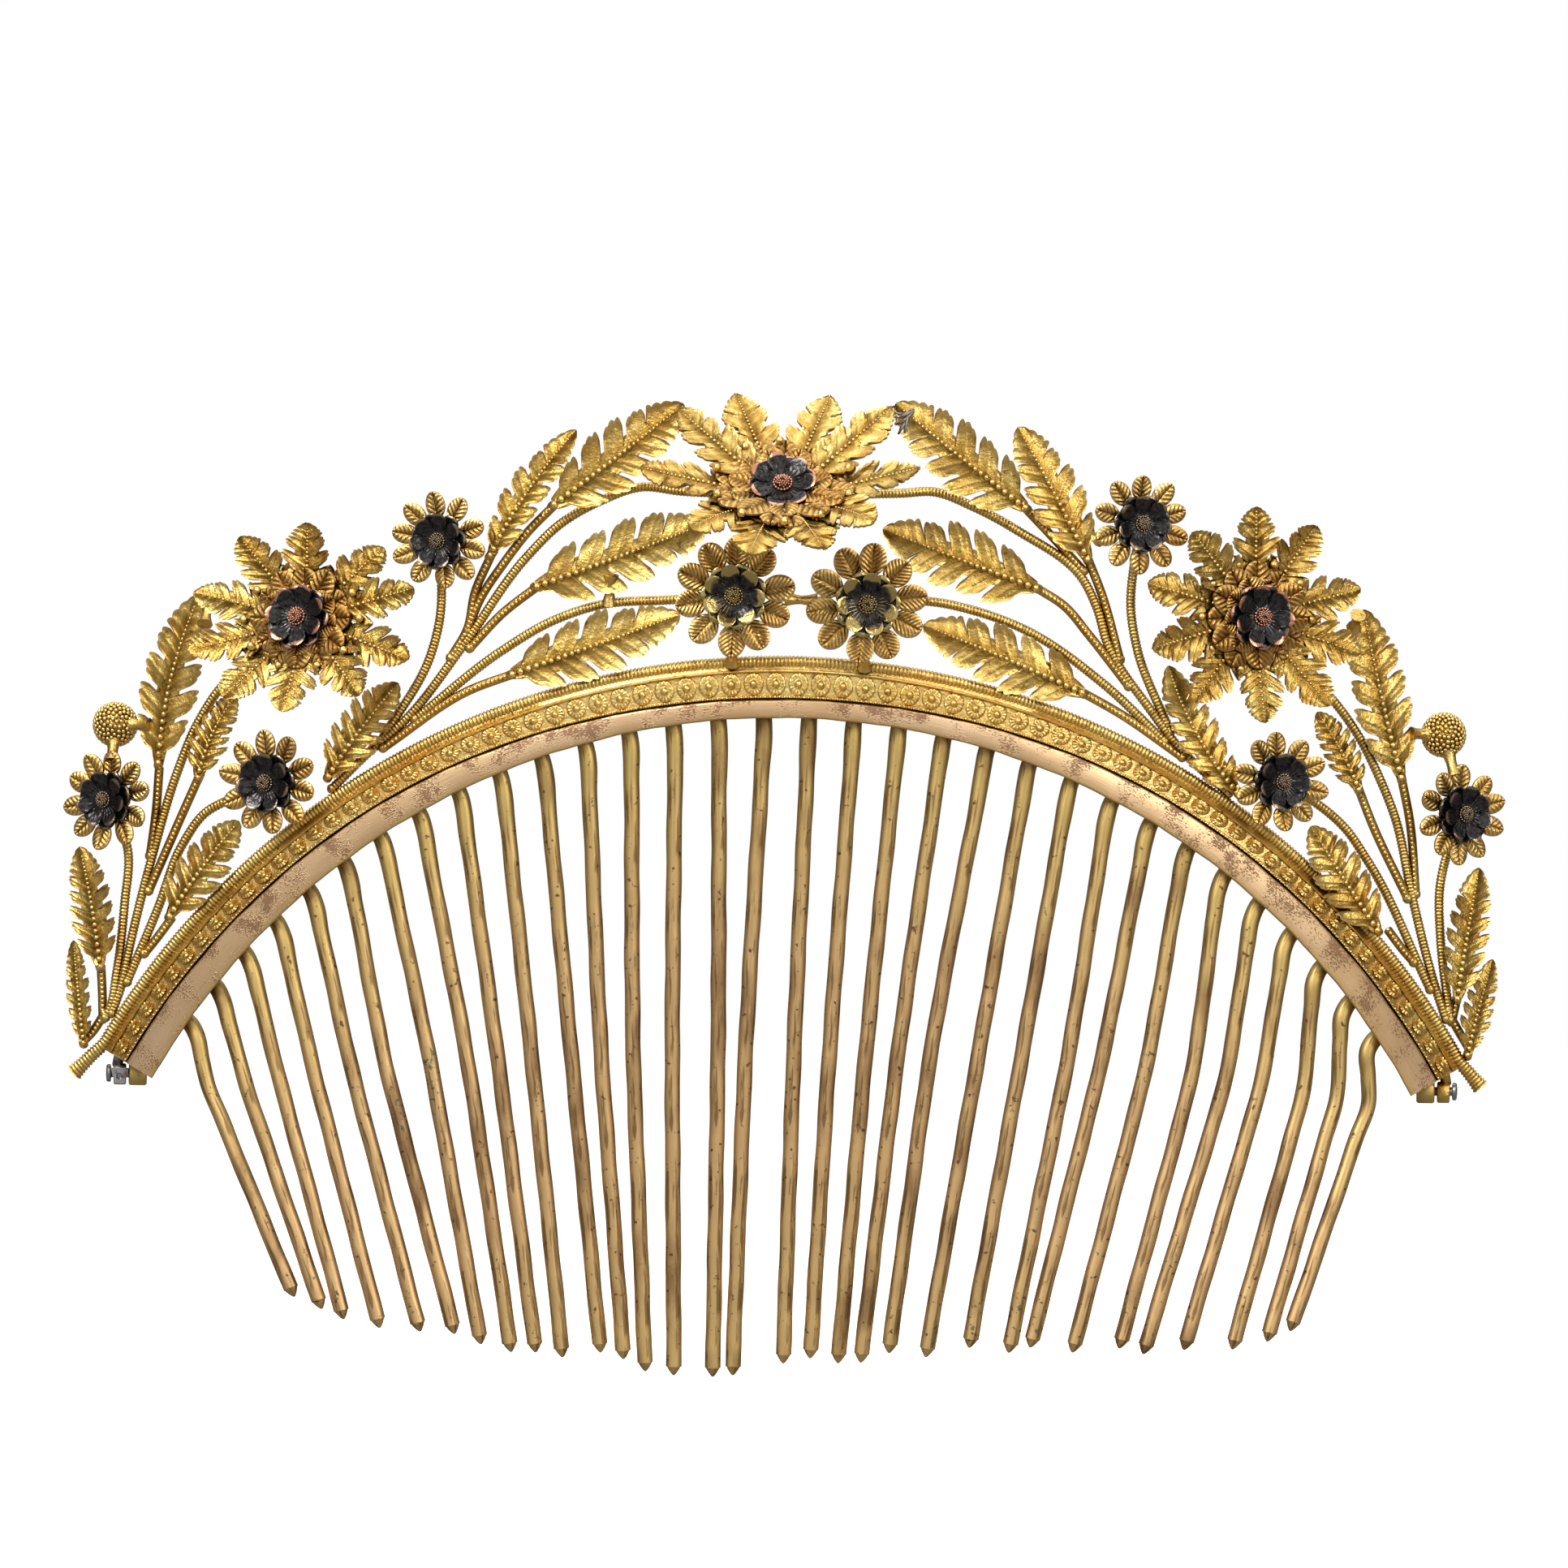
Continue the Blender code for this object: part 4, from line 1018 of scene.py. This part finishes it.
def build_small_flower(label):
    """A ten-petal rosette on its post, and a black blossom in two layers."""
    matrix, reach = flower_frame("blossom_" + label, "rosette_" + label, SMALL_CUP)
    middle = label.startswith("middle")
    sheet = Sheet()
    twist = DICE.uniform(-0.15, 0.15)
    for turn in circle(10):
        angle = turn + twist + DICE.uniform(-0.06, 0.06)
        petal(sheet, matrix, angle, reach * 0.42, reach * DICE.uniform(0.98, 1.04),
              reach * (0.232 if middle else 0.205), SMALL_CUP + math.radians(DICE.uniform(-4, 5)),
              DICE.uniform(-0.25, 0.4), 8 if middle else 6, 0.13)
    rings = ((0.3, -0.1, 0.2, 0.0), (reach * 0.3, 0.0, 0.3, 0.0), (reach * 0.5, 0.2, 0.3, 1.0))
    dish(sheet, matrix, rings, 40, 10, 0.12, math.pi / 10 + twist)
    tube(sheet, on_axis(matrix, -3.0, -2.6, -1.4, 0.0), [0.9, 0.6, 0.55, 1.0], 12)
    sheet.finish("rosette_detail_" + label, "rosette_" + label, "copper_gilt")
    build_blossom("blossom_" + label, reach * (0.56 if middle else 0.6), matrix, 0.75,
                  "worn_gold" if middle else "black_patina")


def build_blossom(node, reach, base, rise, material):
    """A black blossom: an under layer, a cupped upper layer with grooves, and a boss."""
    petals = 7
    turn = Matrix.Rotation(DICE.uniform(-0.3, 0.3), 4, "Z")
    matrix = base @ Matrix.Translation((0.0, 0.0, rise * MM)) @ turn
    sheet = Sheet()
    under = ((0.4, 0.0, 0.2, 0.0), (reach * 0.6, -0.05, 0.2, 0.3), (reach * 0.85, 0.15, 0.35, 0.8),
             (reach * 0.95, 0.2, 0.8, 1.0), (reach, 0.1, 0.9, 1.0))
    dish(sheet, matrix, under, 84, petals, 0.32, math.pi / petals, 0.3, 0.3)
    upper = ((0.3, 0.55, 0.1, 0.0), (reach * 0.36, 0.5, 0.1, 0.0), (reach * 0.5, 0.56, 0.2, 0.3),
             (reach * 0.66, 0.76, 0.42, 0.65), (reach * 0.8, 1.0, 0.6, 0.95), (reach * 0.9, 1.15, 0.95, 1.0),
             (reach * 0.95, 1.16, 1.0, 1.0))
    dish(sheet, matrix, upper, 84, petals, 0.42, 0.0, 0.22, 0.5)
    grooves = 4 * petals
    for angle in circle(grooves):
        middle = angle + math.pi / grooves
        ends = [in_flower(matrix, reach * share, middle, up)
                for share, up in ((0.34, 0.5), (0.5, 0.62), (0.7, 0.9))]
        tube(sheet, ends, [0.07, 0.09, 0.03], 6, [0.3, 0.35, 0.3])
    boss(sheet, matrix, reach * 0.25, 0.7)
    tube(sheet, on_axis(matrix, -1.0, 0.2, 0.65), [0.7, 0.7, reach * 0.25], 12, 0.1)
    sheet.finish(node + "_detail", node, material, slot="black_patina", sharp=55)


def build_large_flower(label):
    """Ten lobed leaves, a ring of ribbed petals, granules and a black blossom on one axis."""
    cup, spin, nod = (math.radians(angle) for angle in LARGE_FLOWERS[label])
    central = bool(nod)
    blossom_node = "blossom_large_" + label
    axis, reach = flower_frame(blossom_node, "leaf_rosette_" + label, cup)
    base = axis @ Matrix.Diagonal((*ROSETTE_STRETCH[label], 1.0, 1.0))
    slope = math.tan(cup)
    sheet = Sheet()
    for turn in circle(10):
        angle = spin + turn + DICE.uniform(-0.06, 0.06)
        long = reach * DICE.uniform(0.96, 1.03)
        hangs = central and math.cos(angle) < -0.2
        flower_leaf(sheet, base, angle, 3.0, long * (0.87 if hangs else 1.0), reach * 0.45,
                    cup + math.radians(DICE.uniform(-6, 6)), 0.1 if central else 0.6,
                    HANGING_DROOP if hangs else 0.0)
        granule = in_flower(base, reach * 0.5, angle + math.pi / 10, slope * reach * 0.5 + 0.5)
        bead(sheet, granule, 0.5)
    rings = ((0.5, 0.0, 0.2, 0.0), (3.0, slope * 3.0 - 0.1, 0.2, 0.0),
             (reach * 0.46, slope * reach * 0.46 - 0.1, 0.3, 1.0))
    dish(sheet, base, rings, 60, 10, 0.12, spin)
    back = base.to_3x3().inverted() @ Vector((0.0, 1.0, 0.0))
    tube(sheet, [base @ (back * drop * MM) for drop in (0.0, 2.0, 4.2)], [1.2, 0.8, 1.0], 14)
    sheet.finish("leaf_rosette_detail_" + label, "leaf_rosette_" + label, "old_gilt", slot="gilt")
    petal_ring(label, axis @ Matrix.Translation((0.0, 0.0, 1.1 * MM)), reach * 0.5, cup, central)
    post = Matrix.Translation((0.0, 0.0, 2.2 * MM)) @ Matrix.Rotation(nod, 4, "X")
    build_blossom(blossom_node, 3.9 if central else 3.7, axis @ post, 0.0, "worn_copper")


def petal_ring(label, base, reach, cup, central):
    """Two layers of ribbed petals round a large flower's blossom."""
    sheet = Sheet()
    for layer, (count, share) in enumerate(((15, 1.04), (11, 0.78)) if central else ((12, 1.0), (9, 0.74))):
        for turn in circle(count):
            angle = turn + math.pi * layer / count + DICE.uniform(-0.06, 0.06)
            petal(sheet, base @ Matrix.Translation((0.0, 0.0, 0.4 * layer * MM)), angle, 1.4,
                  reach * share * DICE.uniform(0.94, 1.05), reach * share * 3.4 / count,
                  cup * 0.5 + math.radians(DICE.uniform(-2, 7)), DICE.uniform(-0.5, 0.1), 7, 0.18)
    dish(sheet, base, ((0.4, 0.0, 0.2, 0.0), (2.2, math.tan(cup) * 2.0, 0.2, 0.0)), 30, 10, 0.0)
    tube(sheet, on_axis(base, -1.1, 1.6), 0.8, 12)
    sheet.finish("petal_ring_detail_" + label, "petal_ring_" + label, "dull_gilt", slot="copper_gilt")


def flower_leaf(sheet, matrix, angle, start, end, width, cup, curl, droop):
    """One small oak-like leaf of a large flower, lying outwards from its centre."""
    spin = Matrix.Rotation(-angle, 4, "Z")
    slope = math.tan(cup)

    def place(x, y, height):
        bent = droop * max(0.0, (y - start) / (end - start)) ** 2
        return matrix @ (spin @ (Vector((x, y, height + slope * y - bent)) * MM))

    lean = DICE.uniform(-0.5, 0.5)
    middle = (lean * 0.4, (start + end) / 2)
    bead_size = 0.22 if droop else 0.32
    lobed_leaf(sheet, place, (0.0, start), middle, (lean, end), width, bead_size, DICE.uniform(-0.1, curl),
               0.2, **FLOWER_LEAF)


def build_berry(label):
    """A ball covered with granules, soldered to the flower below it and to the leaf beside it."""
    low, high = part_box("berry_" + label)
    centre = (Vector(low) + Vector(high)) / 2
    radius = (high[0] - low[0]) / 2 / MM + 0.12
    sheet = Sheet()
    # The core is low in relief: the gilt paints it in shade between the grains.
    bead(sheet, centre, radius - 0.3, unit_sphere(3), 0.35)
    for number in range(BERRY_GRAINS):
        height = 1 - 2 * (number + 0.5) / BERRY_GRAINS
        angle = number * GOLDEN
        flat = math.sqrt(1 - height * height)
        out = Vector((flat * math.sin(angle), height, flat * math.cos(angle)))
        bead(sheet, centre + out * (radius - 0.2) * MM, 0.25)
    for target in BERRY_FEET[label]:
        end = on_head(*target)
        start = centre + (end - centre).normalized() * (radius - 0.4) * MM
        tube(sheet, between(start, end, 5), [0.9, 0.7, 0.6, 0.6, 0.65, 0.8])
    sheet.finish("berry_detail_" + label, "berry_" + label, "gilt")


# ---------------------------------------------------------------- materials

class Paint:
    """Wires up one material's nodes. A value is a number, a colour or another node's output."""

    def __init__(self, name):
        self.material = bpy.data.materials.new(name)
        self.material.use_nodes = True
        self.tree = self.material.node_tree
        self.place = self.node("ShaderNodeTexCoord").outputs["Object"]
        self.flow = self.node("ShaderNodeAttribute", attribute_name="flow").outputs["Vector"]
        self.relief = self.node("ShaderNodeAttribute", attribute_name="relief").outputs["Fac"]

    def node(self, kind, **settings):
        item = self.tree.nodes.new(kind)
        for key, value in settings.items():
            setattr(item, key, value)
        return item

    def put(self, item, values):
        """Sets or links a node's inputs."""
        for name, value in values.items():
            socket = item.inputs[name]
            if isinstance(value, bpy.types.NodeSocket):
                self.tree.links.new(value, socket)
            elif isinstance(value, tuple) and socket.type == "RGBA":
                socket.default_value = (*value, 1.0)
            else:
                socket.default_value = value

    def noise(self, scale, detail, stretch=None, vector=None):
        vector = vector or self.place
        if stretch:
            mapping = self.node("ShaderNodeMapping")
            self.put(mapping, {"Scale": stretch, "Vector": vector})
            vector = mapping.outputs["Vector"]
        item = self.node("ShaderNodeTexNoise")
        self.put(item, {"Scale": scale, "Detail": detail, "Vector": vector})
        return item.outputs["Fac"]

    def ramp(self, value, *stops):
        """A colour ramp; each stop is a place and a colour or a grey."""
        item = self.node("ShaderNodeValToRGB")
        elements = item.color_ramp.elements
        while len(elements) < len(stops):
            elements.new(0.5)
        for element, (place, colour) in zip(elements, stops):
            element.position = place
            element.color = (colour, colour, colour, 1) if isinstance(colour, float) else (*colour, 1)
        self.put(item, {"Fac": value})
        return item.outputs["Color"]

    def mix(self, amount, first, second, blend="MIX"):
        item = self.node("ShaderNodeMix", data_type="RGBA", blend_type=blend)
        self.put(item, {"Factor": amount, "A": first, "B": second})
        return item.outputs["Result"]

    def stain(self, colour, value, low, high, strength, dark):
        """Covers a colour with another where a value goes from low to high."""
        return self.mix(self.ramp(value, (low, 0.0), (high, strength)), colour, dark)

    def math(self, operation, first, second):
        item = self.node("ShaderNodeMath", operation=operation)
        self.put(item, {0: first, 1: second})
        return item.outputs[0]

    def line(self, value, slope, offset):
        """value * slope + offset"""
        return self.math("ADD", self.math("MULTIPLY", value, slope), offset)

    def bump(self, value, distance, strength, before=None):
        item = self.node("ShaderNodeBump")
        self.put(item, {"Strength": strength, "Distance": distance * MM, "Height": value})
        if before:
            self.put(item, {"Normal": before})
        return item.outputs["Normal"]

    def finish(self, colour, roughness, normal, metallic=1.0):
        self.put(self.tree.nodes["Principled BSDF"],
                 {"Base Color": colour, "Roughness": roughness, "Metallic": metallic, "Normal": normal})
        return self.material


def gilt_metal(name, bright, middle, shade_and_dirt, roughness):
    """Stamped gilding, finely grained, with painted light: a painted highlight on its high places, and
    painted brown shade in its recesses and in hollows found by ambient occlusion.
    """
    paint = Paint(name)
    patches = paint.noise(420.0, 5.0)
    grain = paint.noise(4200.0, 4.0)
    # Painted light: relief gives a painted highlight on high places and painted shade in grooves, mottled by
    # random patches.
    light_and_wear = paint.line(paint.relief, 0.72, paint.math("MULTIPLY", patches, 0.42))
    colour = paint.ramp(light_and_wear, (0.14, shade_and_dirt), (0.46, middle), (0.9, bright))
    # Painted shade in hollows, found by ambient occlusion. The same dark colour also stains random dirt
    # spots below.
    occlusion_shade = paint.node("ShaderNodeAmbientOcclusion", samples=6)
    paint.put(occlusion_shade, {"Distance": 1.4 * MM})
    unshaded = paint.ramp(occlusion_shade.outputs["AO"], (0.12, 0.0), (0.7, 1.0))
    colour = paint.mix(unshaded, shade_and_dirt, colour)
    tint = paint.ramp(paint.noise(160.0, 2.0), (0.35, (0.93, 0.76, 0.56)), (0.65, (1.0, 1.0, 1.0)))
    colour = paint.mix(0.7, colour, tint, "MULTIPLY")
    colour = paint.stain(colour, paint.noise(1500.0, 2.0), 0.63, 0.72, 0.7, shade_and_dirt)
    normal = paint.bump(grain, 0.05, 0.9)
    normal = paint.bump(paint.noise(1500.0, 4.0), 0.13, 0.7, normal)
    return paint.finish(colour, paint.line(grain, 0.3, roughness - 0.13), normal)


def bar_metal():
    """Satin pinkish gold with fine brown pits, thickest along the upper edge, and long scratches."""
    paint = Paint("pink_gold")
    tone = paint.ramp(paint.noise(0.09, 3.0, None, paint.flow), (0.3, (0.67, 0.43, 0.22)),
                      (0.7, (0.80, 0.56, 0.33)))
    lower = paint.ramp(paint.relief, (0.0, 0.75), (0.3, 0.0))
    colour = paint.mix(lower, tone, (0.62, 0.40, 0.13))
    pits = paint.noise(5.5, 5.0, (0.6, 1.3, 1.0), paint.flow)
    clusters = paint.noise(0.35, 4.0, None, paint.flow)
    amount = paint.line(pits, 0.55, paint.math("MULTIPLY", clusters, 0.62))
    amount = paint.math("ADD", amount, paint.math("MULTIPLY", paint.relief, 0.07))
    spots = paint.ramp(amount, (0.655, 0.0), (0.71, 0.8))
    colour = paint.mix(spots, colour, (0.22, 0.11, 0.06))
    cloud = paint.noise(0.5, 4.0, (0.35, 1.5, 1.0), paint.flow)
    colour = paint.stain(colour, cloud, 0.5, 0.8, 0.3, (0.40, 0.21, 0.11))
    scratches = paint.noise(4.0, 3.0, (0.06, 3.0, 1.0), paint.flow)
    colour = paint.stain(colour, scratches, 0.62, 0.72, 0.4, (0.30, 0.15, 0.08))
    normal = paint.bump(scratches, 0.02, 0.5)
    normal = paint.bump(spots, -0.04, 0.6, normal)
    return paint.finish(colour, paint.line(spots, 0.25, 0.36), normal)


def tooth_metal():
    """Dull wire brass, redder half way down, with painted light that makes it paler towards the tip, and
    dark specks and some green.
    """
    paint = Paint("tooth_brass")
    split = paint.node("ShaderNodeSeparateXYZ")
    paint.put(split, {0: paint.flow})
    # Painted light: paler towards the tip, to brighten the lower parts of the teeth.
    colour = paint.ramp(paint.math("MULTIPLY", split.outputs["X"], 1 / 70.0),
                        (0.0, (0.50, 0.35, 0.10)), (0.15, (0.52, 0.35, 0.13)), (0.4, (0.54, 0.34, 0.16)),
                        (0.7, (0.64, 0.41, 0.19)), (1.0, (0.74, 0.51, 0.21)))
    streaks = paint.noise(1.4, 4.0, (0.1, 14.0, 1.0), paint.flow)
    colour = paint.stain(colour, streaks, 0.35, 0.7, 0.5, (0.74, 0.53, 0.23))
    dark = paint.noise(230.0, 5.0, (1.0, 1.0, 0.35))
    colour = paint.stain(colour, dark, 0.52, 0.68, 0.7, (0.2, 0.1, 0.045))
    lines = paint.noise(1.0, 3.0, (0.16, 9.0, 1.0), paint.flow)
    colour = paint.stain(colour, lines, 0.54, 0.62, 0.7, (0.15, 0.075, 0.03))
    specks = paint.noise(1500.0, 3.0)
    colour = paint.stain(colour, specks, 0.64, 0.70, 0.9, (0.12, 0.06, 0.03))
    green = paint.math("MULTIPLY", paint.noise(90.0, 2.0), paint.noise(1900.0, 2.0))
    colour = paint.stain(colour, green, 0.42, 0.46, 0.8, (0.03, 0.12, 0.07))
    normal = paint.bump(streaks, 0.03, 0.4)
    normal = paint.bump(specks, 0.02, 0.5, normal)
    return paint.finish(colour, paint.line(dark, 0.3, 0.36), normal)


def black_metal(name, worn_colour, start, patch_scale=900.0):
    """Black patina, rubbed through to metal on its highest edges."""
    paint = Paint(name)
    patches = paint.noise(patch_scale, 5.0)
    wear = paint.math("ADD", paint.relief, paint.math("MULTIPLY", patches, 0.7))
    wear = paint.math("ADD", wear, -0.35)
    tone = paint.ramp(paint.noise(2500.0, 3.0), (0.3, (0.014, 0.013, 0.013)), (0.75, (0.075, 0.068, 0.066)))
    colour = paint.stain(tone, wear, start, start + 0.1, 1.0, worn_colour)
    normal = paint.bump(paint.noise(1800.0, 3.0), 0.12, 0.8)
    return paint.finish(colour, paint.line(patches, 0.25, 0.1), normal, 0.9)


def steel_metal():
    """Grey steel with a little rust."""
    paint = Paint("steel")
    rust = paint.ramp(paint.noise(1100.0, 4.0), (0.5, 0.0), (0.62, 0.8))
    colour = paint.mix(rust, (0.33, 0.33, 0.34), (0.16, 0.08, 0.04))
    normal = paint.bump(paint.noise(4000.0, 3.0), 0.02, 0.7)
    return paint.finish(colour, paint.line(rust, 0.3, 0.33), normal)


MATERIALS = {
    "gilt": gilt_metal("gilt", (0.86, 0.64, 0.235), (0.55, 0.36, 0.085), (0.15, 0.075, 0.014), 0.31),
    "old_gilt": gilt_metal("old_gilt", (0.82, 0.60, 0.21), (0.42, 0.265, 0.06), (0.085, 0.04, 0.009), 0.33),
    "copper_gilt": gilt_metal("copper_gilt", (0.84, 0.60, 0.24), (0.46, 0.28, 0.078), (0.09, 0.04, 0.01),
                              0.32),
    "dull_gilt": gilt_metal("dull_gilt", (0.56, 0.36, 0.12), (0.30, 0.16, 0.04), (0.06, 0.025, 0.01), 0.36),
    "pink_gold": bar_metal(),
    "tooth_brass": tooth_metal(),
    "black_patina": black_metal("black_patina", (0.28, 0.20, 0.12), 0.72),
    "worn_gold": black_metal("worn_gold", (0.42, 0.31, 0.11), 0.35, 420.0),
    "worn_copper": black_metal("worn_copper", (0.55, 0.26, 0.16), 0.7),
    "steel": steel_metal(),
}


# ---------------------------------------------------------------- floor, light, camera

def seen_and_felt(tree, seen, felt):
    """Joins two shaders: one for the camera and one for light and reflections."""
    mix = tree.nodes.new("ShaderNodeMixShader")
    path = tree.nodes.new("ShaderNodeLightPath")
    tree.links.new(path.outputs["Is Camera Ray"], mix.inputs["Fac"])
    tree.links.new(felt, mix.inputs[1])
    tree.links.new(seen, mix.inputs[2])
    return mix.outputs["Shader"]


def build_floor():
    """A large pale floor, level with the tips of the teeth, with a faint mottling."""
    bpy.ops.mesh.primitive_plane_add(size=FLOOR_SIZE, location=(0.0, 0.0, CAD_BOX[0][2] - FLOOR_DROP))
    floor = bpy.context.object
    floor.name = "floor"
    material = bpy.data.materials.new("pale_floor")
    material.use_nodes = True
    tree = material.node_tree
    pale = tree.nodes["Principled BSDF"]
    pale.inputs["Roughness"].default_value = 0.9
    pale.inputs["Emission Color"].default_value = (1.0, 1.0, 1.0, 1.0)
    pale.inputs["Emission Strength"].default_value = 0.55
    noise = tree.nodes.new("ShaderNodeTexNoise")
    noise.inputs["Scale"].default_value = 6.0
    ramp = tree.nodes.new("ShaderNodeValToRGB")
    ramp.color_ramp.elements[0].color = (0.88, 0.88, 0.88, 1.0)
    ramp.color_ramp.elements[1].color = (0.92, 0.92, 0.92, 1.0)
    tree.links.new(noise.outputs["Fac"], ramp.inputs["Fac"])
    tree.links.new(ramp.outputs["Color"], pale.inputs["Base Color"])
    dim = tree.nodes.new("ShaderNodeBsdfDiffuse")
    dim.inputs["Color"].default_value = (0.25, 0.24, 0.23, 1.0)
    surface = seen_and_felt(tree, pale.outputs["BSDF"], dim.outputs["BSDF"])
    tree.links.new(surface, tree.nodes["Material Output"].inputs["Surface"])
    floor.data.materials.append(material)


def build_world():
    """White to the camera. Reflections see a studio that is bright in front and above, dark elsewhere."""
    world = bpy.data.worlds.new("studio")
    bpy.context.scene.world = world
    world.use_nodes = True
    tree = world.node_tree
    tree.nodes.clear()
    seen = tree.nodes.new("ShaderNodeBackground")
    lit = tree.nodes.new("ShaderNodeBackground")
    place = tree.nodes.new("ShaderNodeTexCoord")
    split = tree.nodes.new("ShaderNodeSeparateXYZ")
    total = tree.nodes.new("ShaderNodeMath")
    tree.links.new(place.outputs["Generated"], split.inputs[0])
    graded = (("Y", 0.1, -1.0, STUDIO_DARK, STUDIO_FRONT), ("Z", 0.15, 0.95, 0.0, STUDIO_TOP))
    for number, (axis, *limits) in enumerate(graded):
        ramp = tree.nodes.new("ShaderNodeMapRange")
        ramp.interpolation_type = "SMOOTHSTEP"
        tree.links.new(split.outputs[axis], ramp.inputs["Value"])
        for name, value in zip(("From Min", "From Max", "To Min", "To Max"), limits):
            ramp.inputs[name].default_value = value
        tree.links.new(ramp.outputs["Result"], total.inputs[number])
    tree.links.new(total.outputs[0], lit.inputs["Strength"])
    seen.inputs["Color"].default_value = lit.inputs["Color"].default_value = (1.0, 1.0, 1.0, 1.0)
    output = tree.nodes.new("ShaderNodeOutputWorld")
    surface = seen_and_felt(tree, seen.outputs["Background"], lit.outputs["Background"])
    tree.links.new(surface, output.inputs["Surface"])


def softbox(name, place, size, power):
    data = bpy.data.lights.new(name, "AREA")
    data.shape = "RECTANGLE"
    data.size, data.size_y = size
    data.energy = power
    lamp = bpy.data.objects.new(name, data)
    lamp.location = place
    lamp.rotation_euler = (Vector(LAMP_TARGET) - Vector(place)).to_track_quat("-Z", "Y").to_euler()
    bpy.context.scene.collection.objects.link(lamp)


def build_camera():
    """Straight on from the front, through a long lens, with the comb turned slightly clockwise."""
    target = from_hinge(VIEW_CENTRE[0], 0.0, VIEW_CENTRE[1])
    data = bpy.data.cameras.new("camera")
    data.angle = 2 * math.atan(VIEW_WIDTH / 2 / CAMERA_DISTANCE)
    data.clip_start = 0.05
    camera = bpy.data.objects.new("camera", data)
    camera.location = (target.x, -CAMERA_DISTANCE * MM, target.z)
    camera.rotation_euler = (math.radians(90.0), math.radians(-VIEW_ROLL), 0.0)
    bpy.context.scene.collection.objects.link(camera)
    bpy.context.scene.camera = camera


build_bar()
for row_label, row_side in SIDES.items():
    build_tooth_row(row_label, row_side)
    build_hinge(row_label, row_side)
build_band()
build_edging()
for spray_name, spray_stems in SPRAYS.items():
    build_spray(spray_name, spray_stems)
for leaf_kind in LEAF_KINDS:
    for leaf_side in SIDES:
        build_leaf(leaf_kind, leaf_side)
for flower_label in SMALL_FLOWERS:
    build_small_flower(flower_label)
for flower_label in LARGE_FLOWERS:
    build_large_flower(flower_label)
for berry_side in SIDES:
    build_berry(berry_side)

build_floor()
build_world()
for lamp in LAMPS:
    softbox(*lamp)
build_camera()
bpy.context.scene.view_settings.view_transform = "Standard"
